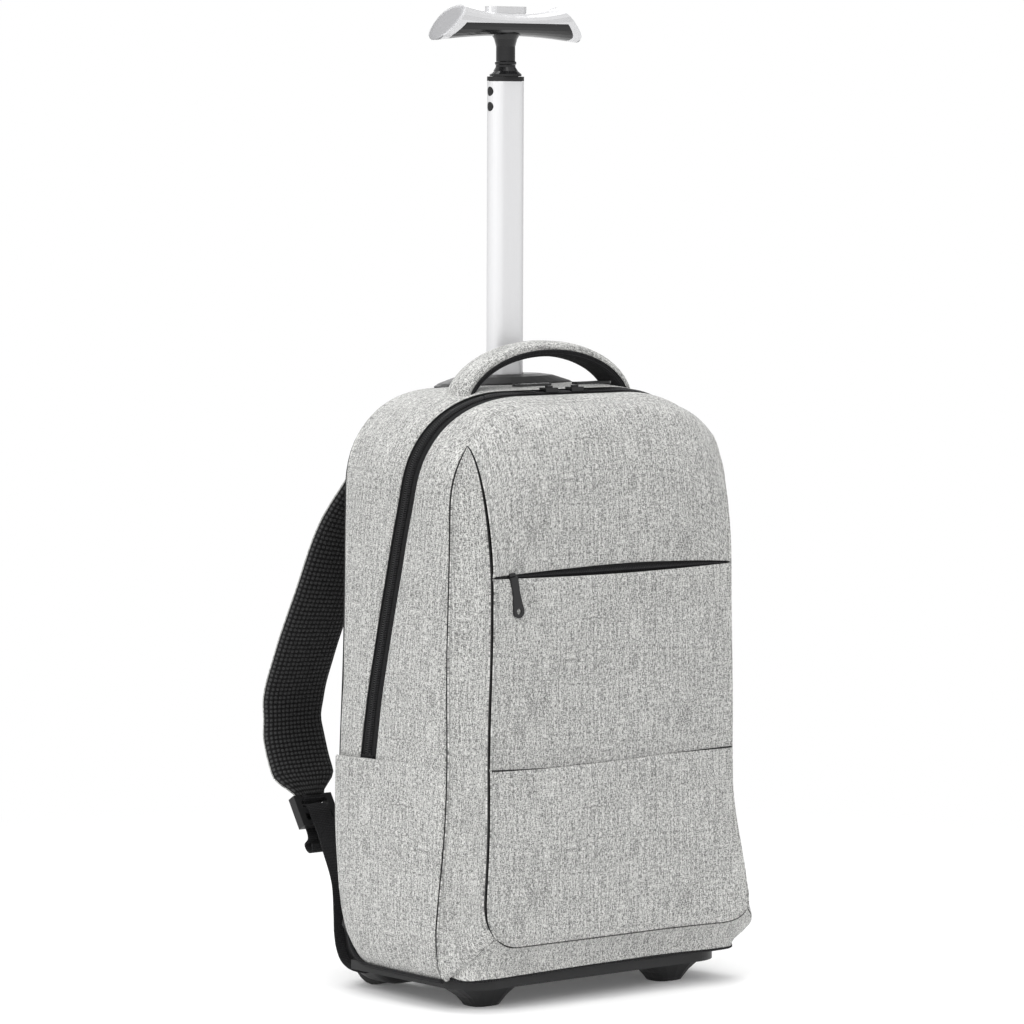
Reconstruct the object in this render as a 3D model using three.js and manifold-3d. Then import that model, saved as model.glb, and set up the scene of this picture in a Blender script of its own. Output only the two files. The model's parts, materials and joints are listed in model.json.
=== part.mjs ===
// Rolling laptop backpack: a soft box backpack on a base with two wheels and two feet,
// with a single two-stage telescopic pole and a T-grip.
// Millimetres. +Z is up, +X is right as seen from the front, -Y is the front.
// The origin is on the ground, under the middle of the whole object.

import * as THREE from "three";
import { mergeVertices } from "three/addons/utils/BufferGeometryUtils.js";
import Module from "manifold-3d";

const wasm = await Module();
wasm.setup();

// ---------------------------------------------------------------- driving dimensions

const GAP = 0.3; // clearance between pieces that touch

// bag body, seen from the front as an arch
const BAG = {
  halfWidth: 146,
  bottom: 26.3,
  top: 500,
  shoulder: [95, 80], // half axes of the elliptical upper corners
  bottomRadius: 20,
  wall: 2.4,
  front: -108.2,
  back: 28,
};
const FLAP_HEIGHT = 200; // the fold line of the front flap, level with the zip's lower ends

// front pocket: a box that stands on the bag's front seam and gets narrower to its face
const POCKET_RINGS = [
  { y: -110, halfWidth: 146, bottom: 26.3, top: 489, shoulder: [95, 70], bottomRadius: 20 },
  { y: -131, halfWidth: 138, bottom: 33, top: 468, shoulder: [70, 56], bottomRadius: 26 },
  { y: -142, halfWidth: 130, bottom: 50, top: 412, shoulder: [40, 38], bottomRadius: 30 },
];
const POCKET_SLOT = { halfLength: 127, low: 352, high: 360.6, split: 356.2 };
const SLIP_POCKET = { halfWidth: 126, bottom: 62, front: -146, wall: 1.6 };
const SIDE_POCKET = { front: -104, back: 26, bottom: 34, outer: 152.5, wall: 1.4 };

// the main zip, seen from the side as points [y, z] from its lower end to the top of the bag
const ZIP_LINE = [
  [-11, 200],
  [-17, 248],
  [-28, 299],
  [-48, 382],
  [-62, 424],
  [-80, 458],
];
const ZIP_TAPE = 8.4; // width of one half of the zip
const ZIP_GAP = 0.4; // from the zip line to the edge of each half

// telescopic pole: three racetrack tubes one inside the other
const POLE_Y = -1;
const TUBE_WALL = 1.2;
const OUTER_TUBE = { length: 41, depth: 24.5, low: 29.6, high: 499.7 };
const MID_TUBE = { length: 34.5, depth: 18, low: 317, high: 757 };
const INNER_TUBE = { length: 28.5, depth: 12, low: 386, high: 761 };
const COLLAR_TOP = 761;

// T-grip
const GRIP = {
  halfLength: 78,
  halfDepth: 16.5,
  waistTop: 814,
  waistBottom: 795,
  topRise: 7.5,
  bottomDrop: 5,
  split: 805,
  wall: 2,
  endTop: 49,
  endBottom: 74.5,
  endBand: 9,
};
const BUTTON = { halfLength: 20.5, halfDepth: 6.5, top: 819.4 };

// base
const BASE = { halfWidth: 142, front: -128, low: 18, high: 26 };
const FOOT = { x: 100, y: -94, height: 17.7 };
const WHEEL = { x: 100, y: 38, radius: 28, width: 22, axleRadius: 2.5 };
const HOUSING = { inner: 83, outer: 141, front: -4, back: 52, low: 4, high: 64 };

// ---------------------------------------------------------------- materials

const material = (color, roughness, metalness = 0) =>
  new THREE.MeshStandardMaterial({ color, roughness, metalness });

const MATERIALS = {
  heather: material(0xb4b4b1, 0.95),
  lining: material(0x2b2b2d, 0.9),
  mesh: material(0x151516, 0.95),
  webbing: material(0x111112, 0.85),
  zip: material(0x161617, 0.7),
  blackPlastic: material(0x1b1b1c, 0.55),
  glossBlack: material(0x0c0c0d, 0.2),
  satinTube: material(0xd8d8da, 0.35, 0.85),
  satinShell: material(0xd6d6d8, 0.4, 0.3),
  steel: material(0x9a9a9c, 0.35, 1),
  tyre: material(0x18181a, 0.8),
};

// ---------------------------------------------------------------- geometry helpers

// a closed three.js geometry as a solid
function solid(geometry) {
  const bare = geometry.clone();
  bare.deleteAttribute("normal");
  bare.deleteAttribute("uv");
  const merged = mergeVertices(bare, 1e-4);
  return new wasm.Manifold(
    new wasm.Mesh({
      numProp: 3,
      vertProperties: new Float32Array(merged.attributes.position.array),
      triVerts: new Uint32Array(merged.index.array),
    }),
  );
}

function geometryOf(manifold) {
  const mesh = manifold.getMesh();
  const geometry = new THREE.BufferGeometry();
  geometry.setAttribute("position", new THREE.Float32BufferAttribute(mesh.vertProperties, 3));
  geometry.setIndex(Array.from(mesh.triVerts));
  return geometry;
}

const extrude = (shape, depth, curveSegments) =>
  new THREE.ExtrudeGeometry(shape, { depth, bevelEnabled: false, curveSegments });

// a shape drawn in x and z, extruded from yFront to yBack
function alongY(shape, yFront, yBack, curveSegments = 8) {
  const geometry = extrude(shape, yBack - yFront, curveSegments);
  return solid(geometry.rotateX(Math.PI / 2).translate(0, yBack, 0));
}

// a shape drawn in x and y, extruded from zLow to zHigh
function alongZ(shape, zLow, zHigh, curveSegments = 8) {
  return solid(extrude(shape, zHigh - zLow, curveSegments).translate(0, 0, zLow));
}

// a shape drawn in y and z, extruded from xLow to xHigh
function alongX(shape, xLow, xHigh, curveSegments = 8) {
  const turn = new THREE.Matrix4().makeBasis(
    new THREE.Vector3(0, 1, 0),
    new THREE.Vector3(0, 0, 1),
    new THREE.Vector3(1, 0, 0),
  );
  return solid(extrude(shape, xHigh - xLow, curveSegments).applyMatrix4(turn).translate(xLow, 0, 0));
}

function block([x0, y0, z0], [x1, y1, z1]) {
  const geometry = new THREE.BoxGeometry(x1 - x0, y1 - y0, z1 - z0);
  return solid(geometry.translate((x0 + x1) / 2, (y0 + y1) / 2, (z0 + z1) / 2));
}

function rod(radius, from, to, segments = 24) {
  const start = new THREE.Vector3(...from);
  const axis = new THREE.Vector3(...to).sub(start);
  const geometry = new THREE.CylinderGeometry(radius, radius, axis.length(), segments);
  const turn = new THREE.Quaternion().setFromUnitVectors(
    new THREE.Vector3(0, 1, 0),
    axis.clone().normalize(),
  );
  geometry.applyQuaternion(turn);
  const middle = start.addScaledVector(axis, 0.5);
  return solid(geometry.translate(middle.x, middle.y, middle.z));
}

// a closed body through rings of points; every ring has the same count and is convex
function loft(rings) {
  const count = rings[0].length;
  const points = rings.flat();
  const faces = [];
  for (let r = 0; r < rings.length - 1; r++) {
    for (let i = 0; i < count; i++) {
      const a = r * count + i;
      const b = r * count + ((i + 1) % count);
      faces.push(a, b, b + count, a, b + count, a + count);
    }
  }
  const last = (rings.length - 1) * count;
  for (let i = 1; i < count - 1; i++) {
    faces.push(0, i + 1, i, last, last + i, last + i + 1);
  }
  const geometry = new THREE.BufferGeometry();
  geometry.setAttribute(
    "position",
    new THREE.Float32BufferAttribute(points.flatMap((p) => [p.x, p.y, p.z]), 3),
  );
  geometry.setIndex(faces);
  return solid(geometry);
}

function polygon(points) {
  return new THREE.Shape(points.map(([u, v]) => new THREE.Vector2(u, v)));
}

function racetrack(length, depth, centre = [0, 0]) {
  const radius = depth / 2;
  const reach = length / 2 - radius;
  const shape = new THREE.Shape();
  shape.absarc(centre[0] + reach, centre[1], radius, -Math.PI / 2, Math.PI / 2, false);
  shape.absarc(centre[0] - reach, centre[1], radius, Math.PI / 2, Math.PI * 1.5, false);
  return shape;
}

const poleSection = ({ length, depth }, grow = 0) =>
  racetrack(length + 2 * grow, depth + 2 * grow, [0, POLE_Y]);

// the bag's arch outline in x and z, drawn inwards by inset
function arch({ halfWidth, bottom, top, shoulder, bottomRadius }, inset = 0) {
  const w = halfWidth - inset;
  const [rx, rz] = shoulder.map((r) => r - inset);
  const foot = Math.max(bottomRadius - inset, 2);
  const shape = new THREE.Shape();
  shape.absarc(w - foot, bottom + inset + foot, foot, -Math.PI / 2, 0, false);
  shape.absellipse(w - rx, top - inset - rz, rx, rz, 0, Math.PI / 2, false, 0);
  shape.absellipse(-(w - rx), top - inset - rz, rx, rz, Math.PI / 2, Math.PI, false, 0);
  shape.absarc(-(w - foot), bottom + inset + foot, foot, Math.PI, Math.PI * 1.5, false);
  return shape;
}

const archRing = (ring, inset, y) =>
  arch(ring, inset)
    .getPoints(7)
    .slice(0, -1)
    .map((p) => new THREE.Vector3(p.x, y, p.y));

function cut(base, ...tools) {
  return tools.reduce((body, tool) => body.subtract(tool), base);
}

const HUGE = 2000;
const above = (z) => block([-HUGE, -HUGE, z], [HUGE, HUGE, HUGE]);
const below = (z) => block([-HUGE, -HUGE, -HUGE], [HUGE, HUGE, z]);
const sides = ["left", "right"];
const signOf = (side) => (side === "left" ? -1 : 1);
const mirrored = (body, side) => (side === "left" ? body : body.mirror([1, 0, 0]));

// ---------------------------------------------------------------- assembly

const group = new THREE.Group();
group.name = "rolling_laptop_backpack";

function add(name, body, look) {
  const mesh = new THREE.Mesh(geometryOf(body), MATERIALS[look]);
  mesh.name = name;
  group.add(mesh);
}

// a pair of mirror-image pieces; the body is drawn for the left side
function addPair(name, body, look) {
  for (const side of sides) add(`${name}_${side}`, mirrored(body, side), look);
}

// ---------------------------------------------------------------- base, feet and wheels

const housingSpace = block(
  [-HOUSING.outer - 0.5, HOUSING.front - 0.5, 0],
  [-HOUSING.inner + 0.5, HOUSING.back + 20, HOUSING.high + 0.5],
);
const housingSpaces = [housingSpace, housingSpace.mirror([1, 0, 0])];

function baseTray() {
  const { halfWidth, front, low, high } = BASE;
  const radius = 32;
  const outline = new THREE.Shape();
  outline.absarc(halfWidth - radius, front + radius, radius, -Math.PI / 2, 0, false);
  outline.lineTo(halfWidth, BAG.back - 2);
  outline.lineTo(-halfWidth, BAG.back - 2);
  outline.absarc(-halfWidth + radius, front + radius, radius, Math.PI, Math.PI * 1.5, false);
  return cut(alongZ(outline, low, high), ...housingSpaces);
}

function roundedRing(halfX, halfY, centre, z, count = 20, power = 3) {
  return Array.from({ length: count }, (_, i) => {
    const angle = (i / count) * Math.PI * 2;
    const c = Math.cos(angle);
    const s = Math.sin(angle);
    const bend = (v) => Math.sign(v) * Math.abs(v) ** (2 / power);
    return new THREE.Vector3(centre[0] + halfX * bend(c), centre[1] + halfY * bend(s), z);
  });
}

// a flared foot: narrow on the ground, wide under the base
function frontFoot() {
  const flare = [
    [14, 12, 0],
    [16, 14, 3],
    [21, 16, 8],
    [29, 18, 13],
    [37, 20, FOOT.height],
  ];
  return loft(flare.map(([hx, hy, z]) => roundedRing(hx, hy, [-FOOT.x, FOOT.y], z)));
}

function wheelHousing() {
  const { inner, outer, front, back, low, high } = HOUSING;
  const profile = new THREE.Shape();
  profile.moveTo(front, BASE.low - 2);
  profile.lineTo(front + 14, low);
  profile.absarc(back - 24, low + 24, 24, -Math.PI / 2, 0, false);
  profile.lineTo(back, high - 12);
  profile.lineTo(back - 10, high);
  profile.lineTo(front, high);
  const slotHalf = WHEEL.width / 2 + 2.5;
  return cut(
    alongX(profile, -outer, -inner),
    rod(31, [-WHEEL.x - slotHalf, WHEEL.y, WHEEL.radius], [-WHEEL.x + slotHalf, WHEEL.y, WHEEL.radius], 40),
    wheelRod(WHEEL.axleRadius + GAP, 40),
  );
}

const wheelRod = (radius, length) =>
  rod(
    radius,
    [-WHEEL.x - length / 2, WHEEL.y, WHEEL.radius],
    [-WHEEL.x + length / 2, WHEEL.y, WHEEL.radius],
  );

function wheelTyre() {
  return cut(wheelRod(WHEEL.radius, WHEEL.width), wheelRod(20, WHEEL.width + 2));
}

function wheelHub() {
  const hub = cut(wheelRod(20 - GAP, WHEEL.width - 2), wheelRod(WHEEL.axleRadius + 0.2, WHEEL.width));
  const recess = (x) => cut(
    rod(16, [x - 4, WHEEL.y, WHEEL.radius], [x + 4, WHEEL.y, WHEEL.radius]),
    rod(6, [x - 5, WHEEL.y, WHEEL.radius], [x + 5, WHEEL.y, WHEEL.radius]),
  );
  const face = WHEEL.width / 2 - 1;
  return cut(hub, recess(-WHEEL.x - face), recess(-WHEEL.x + face));
}

add("base_tray", baseTray(), "blackPlastic");
addPair("front_foot", frontFoot(), "blackPlastic");
addPair("wheel_housing", wheelHousing(), "blackPlastic");
addPair("wheel_axle", wheelRod(WHEEL.axleRadius, 34), "steel");
addPair("wheel_hub", wheelHub(), "blackPlastic");
addPair("wheel_tyre", wheelTyre(), "tyre");

// ---------------------------------------------------------------- bag shell

// everything in front of the zip line and above the fold, moved to the front by shift;
// the lowest corner is drawn in so that the flap clears the gusset as it swings
function flapRegion(shift, cornerRelief) {
  const edge = ZIP_LINE.map(([y, z], i) => [y - shift - (i === 0 ? cornerRelief : 0), z]);
  const topY = edge.at(-1)[0];
  const outline = [[-HUGE, FLAP_HEIGHT], ...edge, [topY, HUGE], [-HUGE, HUGE]];
  return alongX(polygon(outline), -HUGE, HUGE).intersect(above(FLAP_HEIGHT + GAP));
}

const CORNER_RELIEF = 3;
const frontTapeRegion = flapRegion(ZIP_GAP, CORNER_RELIEF);
const frontFabricRegion = flapRegion(ZIP_GAP + ZIP_TAPE, CORNER_RELIEF);
const rearTapeLimit = flapRegion(-ZIP_GAP, 0);
const rearFabricLimit = flapRegion(-ZIP_GAP - ZIP_TAPE, 0);

const gussetBand = (inset, wall) =>
  cut(
    alongY(arch(BAG, inset), BAG.front, BAG.back),
    alongY(arch(BAG, inset + wall), BAG.front - 1, BAG.back + 1),
  );
const shell = gussetBand(0, BAG.wall);
const tapeBand = gussetBand(0.4, 1.4);
const poleHole = alongZ(poleSection(OUTER_TUBE, 0.5), 20, 520);

const upperShell = shell.intersect(above(FLAP_HEIGHT + GAP));
const upperTape = tapeBand.intersect(above(FLAP_HEIGHT + GAP));
add("rear_gusset", cut(upperShell, flapRegion(-ZIP_GAP - ZIP_TAPE - GAP, 0), poleHole), "heather");
add("main_zip_rear_tape", cut(upperTape, rearTapeLimit).intersect(rearFabricLimit), "zip");
add("main_zip_front_tape", cut(upperTape, frontFabricRegion).intersect(frontTapeRegion), "zip");
add("front_gusset", upperShell.intersect(flapRegion(ZIP_GAP + ZIP_TAPE + GAP, CORNER_RELIEF)), "heather");

const BOTTOM_SPLIT = 50;
const lowerShell = cut(shell, above(FLAP_HEIGHT));
const leftHalf = block([-HUGE, -HUGE, -HUGE], [0, HUGE, HUGE]);
addPair("lower_side_panel", lowerShell.intersect(above(BOTTOM_SPLIT + GAP)).intersect(leftHalf), "heather");
add("bottom_panel", cut(lowerShell, above(BOTTOM_SPLIT), ...housingSpaces), "lining");

// ---------------------------------------------------------------- front pocket

// the pocket's outline body; with an inset it is the hollow, open at the back
const pocketLoft = (inset) =>
  loft(
    POCKET_RINGS.map((ring, i) => {
      const backward = i === 0 ? Math.min(inset, 1) : inset;
      return archRing(ring, inset, ring.y + backward);
    }),
  );
const pocketShell = cut(pocketLoft(0), pocketLoft(BAG.wall));
const { halfLength: slotHalf, low: slotLow, high: slotHigh, split: slotSplit } = POCKET_SLOT;
const slot = block([-slotHalf, -160, slotLow], [slotHalf, -134, slotHigh]);

add("front_panel_upper", cut(pocketShell.intersect(above(slotSplit + GAP / 2)), slot), "heather");
add(
  "front_panel_middle",
  cut(pocketShell.intersect(above(FLAP_HEIGHT + GAP)).intersect(below(slotSplit - GAP / 2)), slot),
  "heather",
);
add("pocket_box_lower", pocketShell.intersect(below(FLAP_HEIGHT)), "heather");

const POCKET_FACE = POCKET_RINGS.at(-1).y + BAG.wall; // inner side of the pocket's face
const tapeFace = [POCKET_FACE + GAP, POCKET_FACE + 1.3];
const SLOT_CLEAR = 4.8; // free height between the pocket zip's two halves
const zipMiddle = (slotLow + slotHigh) / 2;
add(
  "pocket_zip_upper_tape",
  block(
    [-slotHalf + 1, tapeFace[0], zipMiddle + SLOT_CLEAR / 2],
    [slotHalf - 1, tapeFace[1], zipMiddle + 12],
  ),
  "zip",
);
add(
  "pocket_zip_lower_tape",
  block(
    [-slotHalf + 1, tapeFace[0], zipMiddle - 12],
    [slotHalf - 1, tapeFace[1], zipMiddle - SLOT_CLEAR / 2],
  ),
  "zip",
);
add(
  "pocket_lining",
  alongY(arch({ ...BAG, top: 489, shoulder: [95, 70] }, 0), -109.7, -108.5).intersect(
    above(FLAP_HEIGHT + GAP),
  ),
  "lining",
);

// ---------------------------------------------------------------- open pockets

function slipPocket() {
  const { halfWidth, bottom, front, wall } = SLIP_POCKET;
  const back = POCKET_RINGS.at(-1).y - GAP;
  return cut(
    block([-halfWidth, front, bottom], [halfWidth, back, FLAP_HEIGHT - GAP]),
    block([-halfWidth + wall, front + wall, bottom + wall], [halfWidth - wall, back + 1, FLAP_HEIGHT + 1]),
  );
}

function sidePocket() {
  const { front, back, bottom, outer, wall } = SIDE_POCKET;
  const inner = BAG.halfWidth + GAP;
  return cut(
    block([-outer, front, bottom + 14], [-inner, back, FLAP_HEIGHT - 1]),
    block([-outer + wall, front + wall, bottom + 14 + wall], [-inner + 1, back - wall, FLAP_HEIGHT + 1]),
  );
}

add("slip_pocket", slipPocket(), "heather");
addPair("side_pocket", sidePocket(), "heather");

// ---------------------------------------------------------------- inside the bag and its back

const LINING_Y = -17.6;
const SLEEVE = { halfWidth: 130, front: -33, low: 42, high: 330, wall: 1.6 };

function laptopSleeve() {
  const { halfWidth, front, low, high, wall } = SLEEVE;
  return cut(
    block([-halfWidth, front, low], [halfWidth, LINING_Y - GAP, high]),
    block([-halfWidth + wall, front + wall, low + wall], [halfWidth - wall, LINING_Y + 1, high + 1]),
  );
}

const backPanel = alongY(arch(BAG, 1), BAG.back + GAP, BAG.back + 6.5);
add("back_panel", cut(backPanel, ...housingSpaces), "mesh");
add("back_lining", alongY(arch(BAG, BAG.wall + GAP), LINING_Y, LINING_Y + 1.2), "lining");
add("laptop_sleeve", laptopSleeve(), "lining");
add("back_frame_sheet", block([-126, 22, 76], [126, 24, 440]), "blackPlastic");

// ---------------------------------------------------------------- grab handle

const HANDLE = { front: -62, back: -34, foot: 486, outer: [100, 55], inner: [84, 42] };

function grabHandle() {
  const { front, back, foot, outer, inner } = HANDLE;
  const band = new THREE.Shape();
  band.absellipse(0, foot, outer[0], outer[1], 0, Math.PI, false, 0);
  band.absellipse(0, foot, inner[0], inner[1], Math.PI, 0, true, 0);
  const bag = alongY(arch({ ...BAG, top: BAG.top + GAP }, -GAP), front - 1, back + 1, 16);
  return cut(alongY(band, front, back, 14), bag);
}

add("grab_handle", grabHandle(), "heather");

// ---------------------------------------------------------------- shoulder straps

// a flat band along a hand-drawn route; its width lies across the route, close to x
function bandAlong(points, width, thickness, steps) {
  const route = new THREE.CatmullRomCurve3(points.map((p) => new THREE.Vector3(...p)));
  const half = [
    [-1, -0.5], [-0.92, -1], [0.92, -1], [1, -0.5],
    [1, 0.5], [0.92, 1], [-0.92, 1], [-1, 0.5],
  ];
  const rings = Array.from({ length: steps + 1 }, (_, i) => {
    const centre = route.getPointAt(i / steps);
    const along = route.getTangentAt(i / steps);
    const across = new THREE.Vector3(1, 0, 0).addScaledVector(along, -along.x).normalize();
    const out = new THREE.Vector3().crossVectors(along, across);
    return half.map(([u, v]) =>
      centre
        .clone()
        .addScaledVector(across, (u * width) / 2)
        .addScaledVector(out, (v * thickness) / 2),
    );
  });
  return loft(rings);
}

const STRAP_ROUTE = [
  [-76, 41, 472],
  [-84, 44, 450],
  [-92, 54, 425],
  [-104, 76, 385],
  [-112, 99, 327],
  [-116, 124, 270],
  [-117, 139, 234],
  [-117, 141.1, 212],
  [-117, 132, 185],
  [-117, 117, 160],
];
const LOCK = { x: -117, y: 108, z: 140 };
const WEBBING_ROUTE = [
  [-117, 99, 124],
  [-122, 86, 106],
  [-130, 70, 86],
  [-134, 60, 68],
  [-135, 54.4, 52],
  [-135, 53.7, 42],
  [-135, 53.7, 33],
];

function ladderLock() {
  const frame = block([-20, -4, -14], [20, 4, 14]);
  const bars = cut(frame, block([-14, -5, 3], [14, 5, 9]), block([-14, -5, -9], [14, 5, -3]));
  const turn = new THREE.Matrix4()
    .makeTranslation(LOCK.x, LOCK.y, LOCK.z)
    .multiply(new THREE.Matrix4().makeRotationX(THREE.MathUtils.degToRad(-32)));
  return solid(geometryOf(bars).applyMatrix4(turn));
}

addPair("shoulder_strap", bandAlong(STRAP_ROUTE, 64, 10, 18), "mesh");
addPair("ladder_lock", ladderLock(), "blackPlastic");
addPair("lower_webbing", bandAlong(WEBBING_ROUTE, 22, 2, 12), "webbing");

// ---------------------------------------------------------------- zip sliders and pull tabs

const TAB = { length: 34, width: 11, thickness: 2.2, hole: 2.6 };

// a pull tab in the x and y plane: pivot at the origin, reaching along +x
function tabShape(length) {
  const { width, hole } = TAB;
  const shape = new THREE.Shape();
  shape.moveTo(0, -width * 0.32);
  shape.lineTo(length * 0.45, -width * 0.32);
  shape.absarc(length - width / 2, 0, width / 2, -Math.PI / 2, Math.PI / 2, false);
  shape.lineTo(length * 0.45, width * 0.32);
  shape.lineTo(0, width * 0.32);
  const eye = new THREE.Path();
  eye.absarc(length - width / 2, 0, hole, 0, Math.PI * 2, true);
  shape.holes.push(eye);
  return shape;
}

const SLIDER = { halfLength: 6.5, height: 3.6 };
const POCKET_SLIDER = { x: -109, z: 356.3 };
const pocketFaceY = POCKET_RINGS.at(-1).y;

function pocketSlider() {
  const { x, z } = POCKET_SLIDER;
  const body = block(
    [x - SLIDER.halfLength, pocketFaceY + 0.4, z - 3.9],
    [x + SLIDER.halfLength, pocketFaceY + 2.1, z + 3.9],
  );
  return body.add(block([x - 3, pocketFaceY - 1.6, z - 3], [x + 3, pocketFaceY + 1, z + 3]));
}
add("pocket_slider", pocketSlider(), "glossBlack");

// the pocket's tab hangs from its slider, turned a little to the right
const TAB_TILT = 10;
function pocketTab() {
  const geometry = extrude(tabShape(TAB.length), TAB.thickness, 6);
  geometry.translate(0, 0, -TAB.thickness);
  geometry.rotateX(Math.PI / 2);
  geometry.rotateY(THREE.MathUtils.degToRad(90 - TAB_TILT));
  return solid(geometry.translate(POCKET_SLIDER.x, pocketFaceY - 1.9 - TAB.thickness, POCKET_SLIDER.z));
}
add("pocket_pull_tab", pocketTab(), "glossBlack");

const MAIN_SLIDER = { x: 14, y: -75.2, z: BAG.top + GAP };
for (const side of sides) {
  const s = signOf(side);
  const { x, y, z } = MAIN_SLIDER;
  const centre = s * x;
  add(
    `main_slider_${side}`,
    block([centre - 6.5, y - 4.4, z], [centre + 6.5, y + 4.4, z + SLIDER.height]).add(
      block([centre - 3, y - 1.5, z + 1], [centre + 3, y + 1.5, z + SLIDER.height + 1.4]),
    ),
    "glossBlack",
  );
  const tab = extrude(tabShape(TAB.length + 4), TAB.thickness, 6);
  if (s < 0) tab.rotateZ(Math.PI);
  add(
    `main_pull_tab_${side}`,
    solid(tab.translate(centre, y, z + SLIDER.height + 1.4 + GAP)),
    "glossBlack",
  );
}

// ---------------------------------------------------------------- telescopic pole

const tubeBody = ({ length, depth, low, high }) =>
  cut(
    alongZ(poleSection({ length, depth }), low, high),
    alongZ(poleSection({ length, depth }, -TUBE_WALL), low - 1, high + 1),
  );

const LUG = { radius: 4, heights: [748.6, 735.9] };
const LOCK_PIN = { radius: 2, z: 396 };

add("outer_tube", tubeBody(OUTER_TUBE), "satinTube");
add(
  "outer_tube_guide",
  cut(
    alongZ(poleSection(OUTER_TUBE, -TUBE_WALL - GAP), 468, 499.4),
    alongZ(poleSection(MID_TUBE, GAP), 460, 505),
  ),
  "blackPlastic",
);

function tubeFootBracket() {
  const foot = block([-34, LINING_Y + 1.6, 29.2], [34, POLE_Y + 18, 46]);
  return cut(foot, alongZ(poleSection(OUTER_TUBE, GAP), 29.5, 60));
}
add("tube_foot_bracket", tubeFootBracket(), "blackPlastic");

// the plate where the pole comes out of the bag: a low dome with a flat rim
function topPlate() {
  const layers = [
    [71, 28.5, BAG.top + GAP],
    [71, 28.5, BAG.top + 3],
    [66, 27, BAG.top + 5.5],
    [48, 22, BAG.top + 10.5],
    [36, 17, BAG.top + 12],
  ];
  const dome = loft(layers.map(([hx, hy, z]) => roundedRing(hx, hy, [0, POLE_Y], z, 32, 2.3)));
  return cut(dome, alongZ(poleSection(MID_TUBE, 0.7), 490, 520));
}
add("top_plate", topPlate(), "blackPlastic");

const lugHoles = (radius) =>
  LUG.heights.map((z) => rod(radius, [-MID_TUBE.length, POLE_Y, z], [-10, POLE_Y, z], 16));
add("mid_tube", cut(tubeBody(MID_TUBE), ...lugHoles(LUG.radius)), "satinTube");

// guide bushing in the top of the visible tube: a collar, a sleeve and two snap lugs
function midTubeBushing() {
  const collar = alongZ(poleSection(MID_TUBE, 0.2), MID_TUBE.high + GAP, COLLAR_TOP);
  const sleeve = alongZ(poleSection(MID_TUBE, -TUBE_WALL - GAP), 727, COLLAR_TOP);
  const tubeSkin = alongZ(poleSection(MID_TUBE, -0.05), 700, 770);
  const lugs = lugHoles(LUG.radius - GAP).map((lug) =>
    lug.intersect(block([-HUGE, -20, 700], [-15, 20, 770])).intersect(tubeSkin),
  );
  const body = lugs.reduce((sum, lug) => sum.add(lug), collar.add(sleeve));
  return cut(body, alongZ(poleSection(INNER_TUBE, GAP), 700, 780));
}
add("mid_tube_bushing", midTubeBushing(), "blackPlastic");
add(
  "mid_lock_block",
  cut(
    alongZ(poleSection(MID_TUBE, -TUBE_WALL - GAP), 319, 345),
    rod(3.2, [0, POLE_Y, 310], [0, POLE_Y, 350], 12),
  ),
  "blackPlastic",
);

const pinBore = (radius, from, to) => rod(radius, [from, POLE_Y, LOCK_PIN.z], [to, POLE_Y, LOCK_PIN.z], 12);
add("inner_tube", cut(tubeBody(INNER_TUBE), pinBore(LOCK_PIN.radius + GAP, -20, -8)), "satinTube");
add(
  "inner_lock_block",
  cut(
    alongZ(poleSection(INNER_TUBE, -TUBE_WALL - GAP), 388, 412),
    pinBore(LOCK_PIN.radius + GAP, -20, 1),
    rod(2.8, [0, POLE_Y, 401], [0, POLE_Y, 420], 12),
  ),
  "blackPlastic",
);
add("inner_lock_pin", pinBore(LOCK_PIN.radius, -15.6, -4), "steel");

// ---------------------------------------------------------------- T-grip

function gripLoft(inset) {
  const { halfLength, halfDepth, waistTop, waistBottom, topRise, bottomDrop } = GRIP;
  const steps = 12;
  const rings = Array.from({ length: steps + 1 }, (_, i) => {
    const x = -halfLength + inset + (i / steps) * 2 * (halfLength - inset);
    const reach = (x / 55) ** 2;
    const high = waistTop + topRise * reach - inset;
    const low = waistBottom - bottomDrop * (x / halfLength) ** 2 + inset;
    const middle = [POLE_Y, (high + low) / 2];
    const ring = roundedRing(halfDepth - inset, (high - low) / 2, middle, 0, 24, 2.15);
    return ring.map((p) => new THREE.Vector3(x, p.x, p.y));
  });
  return loft(rings);
}

// what lies outside the leaning ends, or outside planes moved inwards by shift
function endCuts(shift) {
  const top = GRIP.endTop - shift;
  const bottom = GRIP.endBottom - shift;
  const lean = polygon([
    [top, 820.5],
    [bottom, 794.5],
    [bottom, 780],
    [200, 780],
    [200, 900],
    [top, 900],
  ]);
  const right = alongY(lean, -60, 60);
  return [right, right.mirror([1, 0, 0])];
}

// the upper shell is hollow and wraps round both ends, below the split too
const gripBody = cut(gripLoft(0), ...endCuts(0));
const gripHollow = cut(gripLoft(GRIP.wall), ...endCuts(GRIP.wall)).intersect(above(GRIP.split));
const slotShape = racetrack(2 * BUTTON.halfLength + 1, 2 * BUTTON.halfDepth + 1, [0, POLE_Y]);
const buttonSlot = alongZ(slotShape, 800, 830);
const NECK_TOP = 797;
const upperHalf = gripBody.intersect(above(GRIP.split + GAP / 2));
const endBands = endCuts(GRIP.endBand).map((space) => gripBody.intersect(space));

const gripUpper = upperHalf.add(endBands[0]).add(endBands[1]);

add("grip_upper_shell", cut(gripUpper, gripHollow, buttonSlot), "satinShell");
add(
  "grip_lower_shell",
  cut(
    gripBody.intersect(below(GRIP.split - GAP / 2)),
    ...endCuts(GRIP.endBand + GAP),
    rod(12.3, [0, POLE_Y, 770], [0, POLE_Y, NECK_TOP + GAP]),
    rod(3, [0, POLE_Y, 780], [0, POLE_Y, 820], 16),
  ),
  "glossBlack",
);

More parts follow.
